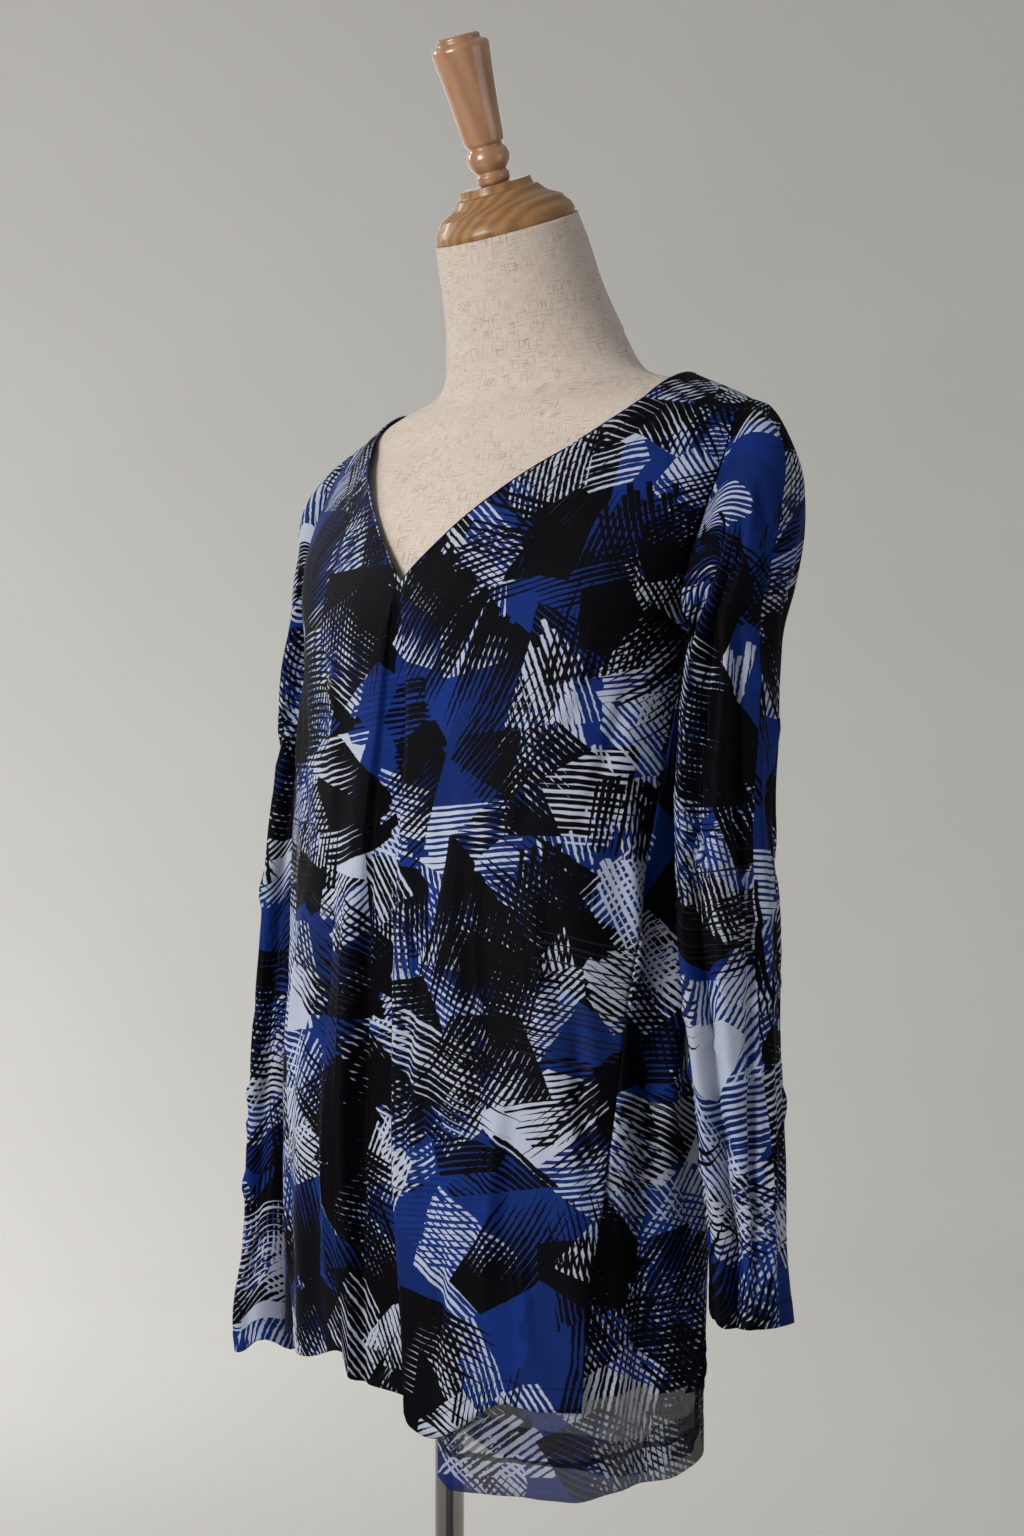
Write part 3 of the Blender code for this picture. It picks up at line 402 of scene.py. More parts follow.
def smooth_read(table, at):
    # Reads a table's columns at a place between its rows, on a smooth curve that
    # doesn't swing past the rows. The first column holds the places.
    if id(table) not in PREPARED_TABLES:
        # The table is kept too, so that its id isn't given to another one
        PREPARED_TABLES[id(table)] = (table, *prepare_table(table))
    _, places, values, tangents = PREPARED_TABLES[id(table)]
    at = min(max(at, places[0]), places[-1])
    right = min(max(bisect.bisect_left(places, at), 1), len(places) - 1)
    left = right - 1
    step = places[right] - places[left]
    share = (at - places[left]) / step
    start = (1.0 + 2.0 * share) * (1.0 - share) ** 2
    start_bend = share * (1.0 - share) ** 2 * step
    end = smooth_step(share)
    end_bend = share * share * (share - 1.0) * step
    return [
        start * a + start_bend * ta + end * b + end_bend * tb
        for a, ta, b, tb in zip(values[left], tangents[left], values[right], tangents[right])
    ]


def smooth_step(share):
    share = min(max(share, 0.0), 1.0)
    return share * share * (3.0 - 2.0 * share)


def signed_power(value, power):
    return math.copysign(abs(value) ** power, value)


def turn_between(first, second):
    return (first - second + 180.0) % 360.0 - 180.0


def bell(degrees, at, half_width):
    # 1 in the middle of a fold, falling softly to 0 at its sides.
    away = abs(turn_between(degrees, at))
    return 0.5 + 0.5 * math.cos(math.pi * away / half_width) if away < half_width else 0.0


def finer(values, steps):
    # Cuts each gap between neighbouring values into equal steps.
    parts = []
    for first, second in zip(values, values[1:]):
        parts += [first + (second - first) * k / steps for k in range(steps)]
    return parts + [values[-1]]


def body_point(degrees, height):
    # A point of the plain body below the underarm; degrees run from the centre front.
    half_width, half_depth, middle_y, power = smooth_read(BODY_SECTIONS, height)
    turn = math.radians(degrees)
    across = math.sin(turn)
    depth = math.copysign((1.0 - abs(across) ** power) ** (1.0 / power), math.cos(turn))
    return Vector((half_width * across, middle_y - half_depth * depth, height))


def body_normal(angle, height):
    along = body_point(angle + TURN_STEP, height) - body_point(angle - TURN_STEP, height)
    return Vector((along.y, -along.x, 0.0)).normalized()


def near_level(level):
    # On the back panel the level goes on past the ridge, at 1, and down the front.
    return level if level <= 1.0 else 2.0 - level


def upper_width(level):
    return smooth_read(UPPER_WIDTHS, near_level(level))[0]


def upper_point(degrees, level, back):
    # A point of the plain body above the underarm.
    behind = back and level <= 1.0
    rise = math.sin(math.radians(90.0 * near_level(level)))
    roundness = BACK_ROUNDNESS if behind else FRONT_ROUNDNESS
    keep_share = max(1.0 - rise**roundness, 0.0) ** (1.0 / roundness)
    ring_y = body_point(180.0 - degrees if behind else degrees, UNDERARM_HEIGHT).y
    x = upper_width(level) * math.sin(math.radians(degrees))
    y = RIDGE_Y + (ring_y - RIDGE_Y) * keep_share
    ridge = RIDGE_HEIGHT_AT_CENTRE - SHOULDER_SLOPE * math.hypot(x, RIDGE_ROUND)
    return Vector((x, y, UNDERARM_HEIGHT + (ridge - UNDERARM_HEIGHT) * rise))


def upper_normal(angle, level, back, side):
    # Which way is out of the cloth, mirrored to its side.
    after = upper_point(angle + TURN_STEP, level, back)
    before = upper_point(angle - TURN_STEP, level, back)
    above = upper_point(angle, level + LEVEL_STEP, back)
    below = upper_point(angle, max(level - LEVEL_STEP, 0.0), back)
    outward = (after - before).cross(above - below).normalized()
    if back:
        outward = -outward
    outward.x *= side
    return outward


def fold_depth(degrees, height):
    # How far the folds stand out of, or into, the plain body.
    total = 0.0
    for at, half_width, depth, begins, full in BODY_FOLDS:
        grow = smooth_step((begins - height) / (begins - full))
        total += depth * bell(degrees, at, half_width) * grow
    return total


def pleat_depth(x, height):
    middle, half_width, depth = smooth_read(CENTRE_PLEAT, height)
    wall = half_width * PLEAT_WALL_SHARE
    return -depth * (1.0 - smooth_step((abs(x - middle) - half_width + wall) / wall))


def pleat_edge_angle(height, side):
    # Where the pleat's fold edge lies on one side, as degrees from the centre front.
    middle, half_width, _ = smooth_read(CENTRE_PLEAT, height)
    body_half_width = smooth_read(BODY_SECTIONS, height)[0]
    return math.degrees(math.asin((half_width + side * middle) / body_half_width))


def gather_depth(share, under_seam):
    # Small waves under the forward shoulder seam, fading down the chest.
    fade = smooth_step(1.0 - under_seam / GATHER_LEVELS) * smooth_step(under_seam / GATHER_START)
    return GATHER_DEPTH * fade * math.sin(2.0 * math.pi * GATHER_WAVES * share)


def lap_depth(angle, height):
    # How far the back's left part lies under the front, below the vent's top.
    across = smooth_step((LAP_END_DEGREES - angle) / (LAP_END_DEGREES - LAP_FULL_DEGREES))
    return LAP_DEPTH * across * smooth_step((LAP_BEGINS - height) / (LAP_BEGINS - LAP_FULL))


def spread(share, inner, strip, outer):
    # An angle across the front panel: a strip beside the inner edge, then the rest.
    if share <= PLEAT_SHARE:
        return inner + strip * share / PLEAT_SHARE
    rest = (share - PLEAT_SHARE) / (1.0 - PLEAT_SHARE)
    return inner + strip + (outer - inner - strip) * rest


def panel_shares(back):
    # Column places from the panel's centre to its side. The front's first ones lie on the
    # pleat's floor and wall, and share PLEAT_SHARE ends on its fold edge.
    if back:
        return [step / BACK_COLUMNS for step in range(BACK_COLUMNS + 1)]
    pleat = [PLEAT_SHARE * place for place in PLEAT_COLUMNS]
    rest = FRONT_COLUMNS - len(pleat) + 1
    return pleat + [PLEAT_SHARE + (1.0 - PLEAT_SHARE) * step / rest for step in range(1, rest + 1)]


def panel_rows(back):
    upper_count = BACK_UPPER_ROWS if back else FRONT_UPPER_ROWS
    upper = [step / upper_count for step in range(upper_count + 1)]
    neck_row = neck_point_row(back)
    upper[min(range(1, upper_count), key=lambda k: abs(upper[k] - neck_row))] = neck_row
    return [-1.0 + step / LOWER_ROWS for step in range(LOWER_ROWS)] + upper


def seam_level(share, back):
    # The forward shoulder seam's level, from the neck to the tip.
    neck, tip = SEAM_LEVEL_AT_NECK, SEAM_LEVEL_AT_TIP
    if back:
        neck, tip = 2.0 - neck, 2.0 - tip
    return neck + (tip - neck) * share


def neck_point_row(back):
    # The row where the two halves of a panel part at the neck opening.
    return (BACK_NECK_LEVEL if back else V_POINT_LEVEL) / seam_level(0.0, back)


def panel_point(share, row, side, back):
    # share: 0 at the panel's centre, 1 at its side edge. row: -1 at the hem, 0 at the
    # underarm and 1 at the top edge. side: +1 the wearer's left, -1 the right.
    if row <= 0.0:
        return lower_panel_point(share, 1.0 + row, side, back)
    return upper_panel_point(share, row, side, back)


def panel_angle(share, height, side, back):
    front_left, back_left, right = smooth_read(SIDE_EDGES, height)
    left = back_left if back else front_left
    edge = left if side > 0 else right
    if back:
        return 180.0 - side * share * (180.0 - edge - TRIM_DEG)
    return side * spread(share, 0.0, pleat_edge_angle(height, side), edge - TRIM_DEG)


def lower_panel_point(share, rise, side, back):
    # Rows above the vent's top are level; those below it spread down to the hem.
    level_from = HEM_ROWS / LOWER_ROWS
    height = VENT_TOP
    if rise >= level_from:
        height += (UNDERARM_HEIGHT - VENT_TOP) * (rise - level_from) / (1.0 - level_from)
    else:
        for _ in range(HEM_SEARCHES):
            angle = panel_angle(share, height, side, back)
            hem = smooth_read(BACK_HEM if back else FRONT_HEM, angle % 360.0 if back else angle)[0]
            height = hem + (VENT_TOP - hem) * rise / level_from
    angle = panel_angle(share, height, side, back)
    point = body_point(angle, height)
    outward = body_normal(angle, height)
    depth = fold_depth(angle, height)
    depth += -lap_depth(angle, height) if back else pleat_depth(point.x, height)
    return point + outward * depth, outward


def upper_panel_point(share, row, side, back):
    # row: 0 at the underarm, 1 at the forward shoulder seam.
    top = seam_level(share, back)
    level = row * (top - 0.5 * SEAM_GAP / SHOULDER_RISE)
    neck_edge = BACK_NECK_EDGE if back else FRONT_NECK_EDGE
    left, right = smooth_read(neck_edge, level) if level >= neck_edge[0][0] else (0.0, 0.0)
    inner = math.degrees(math.asin((left if side > 0 else right) / upper_width(level)))
    outer = smooth_read(BACK_ARM_EDGE if back else FRONT_ARM_EDGE, level)[0] - TRIM_DEG
    angle = inner + (outer - inner) * share
    if not back:
        narrow = pleat_edge_angle(UNDERARM_HEIGHT + PLEAT_RISE_PER_LEVEL * level, side)
        spreading = smooth_step((level - V_POINT_LEVEL) / PLEAT_SPREAD_LEVELS)
        strip = narrow + (PLEAT_SHARE * (outer - inner) - narrow) * spreading
        angle = spread(share, inner, strip, outer)
    point = upper_point(angle, level, back)
    point.x *= side
    depth = fold_depth(180.0 - angle * side if back else angle * side, point.z)
    if not back:
        if level < V_POINT_LEVEL:
            depth += pleat_depth(point.x, point.z)
        depth += gather_depth(share, top - level)
    outward = upper_normal(angle, level, back, side)
    return point + outward * depth, outward


def armhole_loop(side, steps):
    # The armhole's edge from the shoulder tip down the front to the underarm and up the
    # back, at the panels' own rows: each point, the way past the edge, the way out of
    # the cloth, and how far round the edge it lies.
    halves = []
    for back in (False, True):
        rows = [row for row in finer(panel_rows(back), steps) if row >= 0.0]
        halves.append([upper_panel_point(1.0, row, side, back) for row in rows])
    front, back = halves[0][::-1], halves[1]
    loop = [halfway(front[0], back[-1]), *front[1:-1], halfway(front[-1], back[0]), *back[1:-1]]
    centre = sum((point for point, _ in loop), Vector()) / len(loop)
    total = sum((loop[k][0] - loop[k - 1][0]).length for k in range(len(loop)))
    walked = 0.0
    edge = []
    for k, (point, outward) in enumerate(loop):
        before = loop[k - 1][0]
        after = loop[(k + 1) % len(loop)][0]
        walked += (point - before).length if k else 0.0
        away = (after - before).cross(outward).normalized()
        if away.dot(centre - point) < 0.0:
            away = -away
        edge.append((point, away, outward, walked / total))
    return edge


def halfway(first, second):
    return (first[0] + second[0]) / 2.0, (first[1] + second[1]).normalized()


def flush_share(away):
    # 1 where the sleeve goes on along the shoulder, 0 where it stands off the panel.
    return smooth_step((abs(away.x) - FLUSH_FROM) / (FLUSH_FULL - FLUSH_FROM))


def leaving_ways(edge):
    # The way that each column of the sleeve leaves the armhole, evened out round it.
    ways = []
    for _, away, outward, _ in edge:
        flush = flush_share(away)
        ways.append((away * flush + outward * (1.0 - flush)).normalized())
    for _ in range(WAY_SMOOTHINGS):
        following = ways[1:] + ways[:1]
        ways = [(ways[k - 1] + 2.0 * way + following[k]).normalized() for k, way in enumerate(ways)]
    return ways


def sleeve_ring_point(turn, length_share, side):
    # turn in degrees round the sleeve: 0 outside, 90 front, 180 inside, 270 back.
    row = smooth_read(SLEEVE_TABLE, length_share)
    left_z, right_z, x, left_y, right_y, half_x, half_y, tilt = row
    cut = 0.0
    for at, half_width, depth, full, ends in SLEEVE_FOLDS:
        fade = SLEEVE_FOLD_FADE * smooth_step((length_share - ends) / SLEEVE_FOLD_TAIL + 1.0)
        grow = smooth_step(length_share / full)
        cut += depth * bell(turn, at, half_width) * grow * (1.0 - fade)
    height = left_z if side > 0 else right_z
    for lifted_side, at, half_width, lift in CUFF_LIFTS:
        if lifted_side == side:
            grow = smooth_step((length_share - CUFF_LIFT_FROM) / (1.0 - CUFF_LIFT_FROM))
            height += lift * bell(turn, at, half_width) * grow
    angle = math.radians(turn)
    out = math.cos(angle) * (half_x + cut)
    front = math.sin(angle) * (half_y + cut)
    tilt = math.radians(tilt)
    return Vector((
        side * (x + out * math.cos(tilt)),
        (left_y if side > 0 else right_y) - front,
        height + out * math.sin(tilt),
    ))


def crease_bell(along, across, tilt, half_length, half_width):
    # 1 in the middle of a tilted crease, falling softly to 0 at its ends and sides.
    turn = math.radians(tilt)
    lengthways = (along * math.cos(turn) + across * math.sin(turn)) / half_length
    sideways = (across * math.cos(turn) - along * math.sin(turn)) / half_width
    if abs(lengthways) >= 1.0 or abs(sideways) >= 1.0:
        return 0.0
    return (math.cos(0.5 * math.pi * lengthways) * math.cos(0.5 * math.pi * sideways)) ** 2


def body_wrinkles(degrees, height):
    total = 0.0
    for at, middle, tilt, half_length, half_width, depth in BODY_WRINKLES:
        along = height - middle
        if abs(along) < half_length:
            across = math.radians(turn_between(degrees, at)) * BODY_ARC_RADIUS
            total += depth * crease_bell(along, across, tilt, half_length, half_width)
    return total * (1.0 + FREE_DEEPER * smooth_step((FREE_BELOW - height) / FREE_RISE))


def sleeve_wrinkles(turn, height, side):
    total = 0.0
    for wrinkled_side, at, middle, tilt, half_length, half_width, depth in SLEEVE_WRINKLES:
        across = height - middle
        if wrinkled_side == side and abs(across) < half_length:
            along = math.radians(turn_between(turn, at)) * SLEEVE_ARC_RADIUS
            total += depth * crease_bell(along, across, tilt, half_length, half_width)
    return total


def lie(point):
    # The cloth's uneven lie, the same on both sides of a seam.
    return sum(height * noise.noise(point * size) for size, height in (BROAD_WAVES, SMALL_WAVES))


def band_rise(edge_distance, band):
    return BAND_RISE * (1.0 - smooth_step((edge_distance - band) / BAND_EDGE + 0.5))


def print_heights():
    # How far up the cloth each level above the underarm lies.
    heights = [(0.0, 0.0)]
    before = upper_point(PRINT_ARC_ANGLE, 0.0, True)
    for step in range(1, PRINT_ARC_STEPS + 1):
        level = PRINT_ARC_LEVELS * step / PRINT_ARC_STEPS
        point = upper_point(PRINT_ARC_ANGLE, level, True)
        heights.append((level, heights[-1][1] + (point - before).length))
        before = point
    return tuple(heights)


def ring_quads(rings, count, closed=False):
    # The corners between rings of points, with the number of the lower ring and how many
    # points round it they begin.
    for r in range(rings if closed else rings - 1):
        here, there = r * count, (r + 1) % rings * count
        for k in range(count):
            following = (k + 1) % count
            yield r, k, [here + k, here + following, there + following, there + k]


def quad_normals(points, quads):
    normals = [Vector() for _ in points]
    for corners in quads:
        a, b, c, d = (points[corner] for corner in corners)
        for corner in corners:
            normals[corner] += (c - a).cross(d - b)
    return [normal.normalized() for normal in normals]


def make_piece(name, points, faces, materials, layer="", places=()):
    # places: where each corner of each face lies on the flat pattern.
    mesh = bpy.data.meshes.new(name)
    mesh.from_pydata([tuple(point) for point in points], [], faces)
    if layer:
        uvs = mesh.uv_layers.new(name=layer).data
        uvs.foreach_set("uv", [value for place in places for value in place])
    for material in materials:
        mesh.materials.append(material)
    mesh.shade_smooth()
    piece = bpy.data.objects.new(name, mesh)
    bpy.context.collection.objects.link(piece)
    return piece


def add_cloth(node, grid, ways, quads, materials, edge_distance):
    # grid: the outer points. ways: the way out at the seams, so that both sides of a seam
    # agree. quads: (corners, their print places, material number). The sheet gets a thin
    # wall inward, and its distance to the hem as an attribute.
    count = len(grid)
    normals = quad_normals(grid, [corners for corners, _, _ in quads])
    for corner, way in ways.items():
        normals[corner] = way
    inner = [point - way * VISIBLE_WALL for point, way in zip(grid, normals)]
    walls = list(quads)
    edges = {}
    for corners, uvs, number in quads:
        walls.append(([corner + count for corner in reversed(corners)], uvs[::-1], number))
        for k in range(4):
            after = (k + 1) % 4
            edges[(corners[k], corners[after])] = (uvs[k], uvs[after], number)
    for (a, b), (uv_a, uv_b, number) in edges.items():
        if (b, a) not in edges:
            walls.append(([b, a, a + count, b + count], [uv_b, uv_a, uv_a, uv_b], number))
    faces = [corners for corners, _, _ in walls]
    places = [place for _, uvs, _ in walls for place in uvs]
    piece = make_piece(node + "_cloth", grid + inner, faces, materials, "print", places)
    hem = piece.data.attributes.new("edge_distance", "FLOAT", "POINT")
    hem.data.foreach_set("value", edge_distance + edge_distance)
    piece.data.polygons.foreach_set("material_index", [number for _, _, number in walls])
    piece.data.update()
    return piece


def build_panel(node, back, materials, heights):
    rows = finer(panel_rows(back), ROW_STEPS)
    shares = finer(panel_shares(back), COLUMN_STEPS)
    neck = neck_point_row(back)
    start_u, start_v = PRINT_STARTS[node]
    points, places, edge_distance = [], [], []
    ways, index, under = {}, {}, {}
    for r, row in enumerate(rows):
        for side in (1, -1):
            u, before = 0.0, None
            for c, share in enumerate(shares):
                # Up to the neck's point the two halves share their centre column
                joined = c == 0 and row <= neck + ROW_SLACK
                if joined and side < 0:
                    index[(r, side, c)] = index[(r, 1, c)]
                    before = points[index[(r, 1, c)]]
                    continue
                point, outward = panel_point(share, row, side, back)
                if row <= 0.0:
                    v = point.z
                    angle = panel_angle(share, point.z, side, back)
                else:
                    v = UNDERARM_HEIGHT + smooth_read(heights, row * seam_level(share, back))[0]
                    across = math.degrees(math.atan2(point.x, upper_width(row)))
                    angle = 180.0 - across if back else across
                hem = 0.0
                if r > 0:
                    below, hem = under[(side, c)]
                    hem += (point - below).length
                under[(side, c)] = (point, hem)
                if joined:
                    under[(-side, c)] = (point, hem)
                u = abs(point.x) if before is None else u + (point - before).length
                before = point
                if share == 1.0 or row == 1.0:
                    ways[len(points)] = outward
                index[(r, side, c)] = len(points)
                lift = lie(point) + body_wrinkles(angle, point.z)
                lift += band_rise(hem, TAIL_BAND if back else FRONT_BAND)
                points.append(point + outward * lift)
                places.append((start_u + side * u, start_v + v))
                edge_distance.append(hem)
    quads = []
    for r in range(len(rows) - 1):
        for side in (1, -1):
            for c in range(len(shares) - 1):
                around = ((r, c), (r, c + 1), (r + 1, c + 1), (r + 1, c))
                corners = [index[(at_row, side, at_column)] for at_row, at_column in around]
                if (side > 0) == back:
                    corners.reverse()
                look = 0
                if back and max(points[corner].z for corner in corners) < SHEER_BELOW:
                    near_hem = min(edge_distance[corner] for corner in corners)
                    look = 1 if near_hem > TAIL_BAND else 2
                quads.append((corners, [places[corner] for corner in corners], look))
    return add_cloth(node, points, ways, quads, materials, edge_distance)


def between(values, steps):
    # Ways at the finer loop's places, going round to the first one again.
    parts = []
    for k, value in enumerate(values):
        following = values[(k + 1) % len(values)]
        parts += [value.lerp(following, j / steps).normalized() for j in range(steps)]
    return parts


def build_sleeve(node, side, materials):
    coarse = armhole_loop(side, 1)
    ways = between(leaving_ways(coarse), LOOP_STEPS)
    aways = between([away for _, away, _, _ in coarse], LOOP_STEPS)
    outwards = between([outward for _, _, outward, _ in coarse], LOOP_STEPS)
    turns = [360.0 * share for share in finer([edge[3] for edge in coarse] + [1.0], LOOP_STEPS)]
    starts = [point for point, _, _, _ in armhole_loop(side, LOOP_STEPS)]
    columns = len(starts)
    rows = finer(list(range(SLEEVE_ROW_STEPS + 1)), SLEEVE_STEPS)
    bare = []
    for row in rows:
        length_share = max(row - 1.0, 0.0) / (SLEEVE_ROW_STEPS - 1)
        weight = smooth_step(row / SLEEVE_BLEND_ROWS)
        for k in range(columns):
            point = starts[k] + aways[k] * (SLEEVE_SEAM_GAP * max(1.0 - row, 0.0))
            free = sleeve_ring_point(turns[k], length_share, side)
            bare.append((point + ways[k] * (SLEEVE_LEAVE_STEP * row)).lerp(free, weight))
    to_hem = [0.0] * len(bare)
    for k in reversed(range(len(bare) - columns)):
        to_hem[k] = to_hem[k + columns] + (bare[k] - bare[k + columns]).length
    start_u, start_v = PRINT_STARTS[node]
    places = []
    for first in range(0, len(bare), columns):
        ring = bare[first:first + columns]
        sums = [0.0]
        for k in range(columns):
            sums.append(sums[-1] + (ring[(k + 1) % columns] - ring[k]).length)
        places.append([
            (start_u + side * (value - sums[-1] / 2.0), start_v + to_hem[first + k % columns])
            for k, value in enumerate(sums)
        ])
    quads = []
    for r, k, corners in ring_quads(len(rows), columns):
        uvs = [places[r][k], places[r][k + 1], places[r + 1][k + 1], places[r + 1][k]]
        quads.append((corners, uvs, 0) if side > 0 else (corners[::-1], uvs[::-1], 0))
    normals = quad_normals(bare, [corners for corners, _, _ in quads])
    points = []
    for k, point in enumerate(bare):
        fade = smooth_step(rows[k // columns] / SLEEVE_FADE_ROWS)
        lift = lie(point) + sleeve_wrinkles(turns[k % columns], point.z, side) * fade
        points.append(point + normals[k] * (lift + band_rise(to_hem[k], CUFF_BAND)))
    seam_ways = {}
    for k in range(columns):
        flush = flush_share(aways[k])
        seam_ways[k] = (outwards[k] * flush - aways[k] * (1.0 - flush)).normalized()
    return add_cloth(node, points, seam_ways, quads, materials, to_hem)


def neck_path():
    # The blouse's neck edge, from the V's point up its left side, round the back and down.
    path = []
    for side, back, upward in NECK_PARTS:
        neck = neck_point_row(back)
        rows = [row for row in finer(panel_rows(back), ROW_STEPS) if row >= neck - ROW_SLACK]
        for row in rows[1:] if upward else rows[::-1]:
            point, outward = panel_point(0.0, row, side, back)
            path.append(point + outward * (lie(point) - VISIBLE_WALL / 2.0))
    return path


def build_neck_roll(material):
    # A closed round tube along the neck's edge.
    path = neck_path()
    points, places = [], []
    walked = 0.0
    for k, point in enumerate(path):
        before = path[k - 1]
        walked += (point - before).length if k else 0.0
        along = (path[(k + 1) % len(path)] - before).normalized()
        first = along.cross(Vector((0.0, 1.0, 0.0))).normalized()
        second = along.cross(first)
        for j in range(NECK_ROLL_SEGMENTS):
            turn = 2.0 * math.pi * j / NECK_ROLL_SEGMENTS
            way = first * math.cos(turn) + second * math.sin(turn)
            points.append(point + way * NECK_ROLL_RADIUS)
            places.append((walked, NECK_ROLL_RADIUS * turn))
    faces = [corners for _, _, corners in ring_quads(len(path), NECK_ROLL_SEGMENTS, True)]
    uvs = [places[corner] for face in faces for corner in face]
    return make_piece("neck_roll", points, faces, [material], "print", uvs)


def ring_mesh(name, rings, material):
    # A closed solid through rings of the same number of points, from the bottom up, with
    # smooth sides and flat ends.
    count = len(rings[0])
    points = [point for ring in rings for point in ring]
    heights = [0.0]
    for below, above in zip(rings, rings[1:]):
        heights.append(heights[-1] + (above[0] - below[0]).length)
    girths = [sum((ring[k] - ring[k - 1]).length for k in range(count)) for ring in rings]
    bottom = list(reversed(range(count)))
    top = list(range(len(points) - count, len(points)))
    faces = [bottom]
    places = [(points[k].x, points[k].y) for k in bottom]
    for r, k, corners in ring_quads(len(rings), count):
        faces.append(corners)
        left = girths[r] * k / count
        right = girths[r] * (k + 1) / count
        low, high = heights[r], heights[r + 1]
        places += [(left, low), (right, low), (right, high), (left, high)]
    faces.append(top)
    places += [(points[k].x, points[k].y) for k in top]
    piece = make_piece(name, points, faces, [material], "surface", places)
    piece.data.polygons.foreach_set("use_smooth", [len(face) == 4 for face in faces])
    return piece


def build_form(material):
    rings = []
    for step in range(FORM_ROWS + 1):
        at = (len(FORM_RINGS) - 1) * step / FORM_ROWS
        middle_y, height, half_width, half_depth, power, tilt = smooth_read(FORM_TABLE, at)
        if height < FORM_BARE_ABOVE:
            half_width -= FORM_UNDER_CLOTH
            half_depth -= FORM_UNDER_CLOTH
        lean = math.radians(tilt)
        ring = []
        for k in range(FORM_ROUND):
            turn = 2.0 * math.pi * k / FORM_ROUND
            x = half_width * signed_power(math.sin(turn), 2.0 / power)
            forward = half_depth * signed_power(math.cos(turn), 2.0 / power)
            y = middle_y - forward * math.cos(lean)
            ring.append(Vector((x, y, height - forward * math.sin(lean))))
        rings.append(ring)
    return ring_mesh("form_cover", rings, material)


def turned_ring(radius, height, place):
    ring = []
    for k in range(TURNED_ROUND):
        turn = 2.0 * math.pi * k / TURNED_ROUND
        ring.append(place @ Vector((radius * math.sin(turn), -radius * math.cos(turn), height)))
    return ring


def build_turned(name, profile, place, material):
    # Turned from a profile of (radius, height), on a smooth curve through it.
    table = tuple((height, radius) for radius, height in profile)
    low, high = table[0][0], table[-1][0]
    rings = []
    for step in range(TURNED_ROWS + 1):
        height = low + (high - low) * step / TURNED_ROWS
        rings.append(turned_ring(smooth_read(table, height)[0], height, place))
    return ring_mesh(name, rings, material)


def build_pole(material):
    form_bottom = FORM_RINGS[0][1]
    profile = (
        (POLE_RADIUS, BASE_PROFILE[-1][1] + SEAM_GAP),
        (POLE_RADIUS, form_bottom - COLLAR_HEIGHT - COLLAR_TAPER),
        (COLLAR_RADIUS, form_bottom - COLLAR_HEIGHT),
        (COLLAR_RADIUS, form_bottom - SEAM_GAP),
    )
    rings = [turned_ring(radius, height, Matrix.Identity(4)) for radius, height in profile]
    return ring_mesh("pole_tube", rings, material)


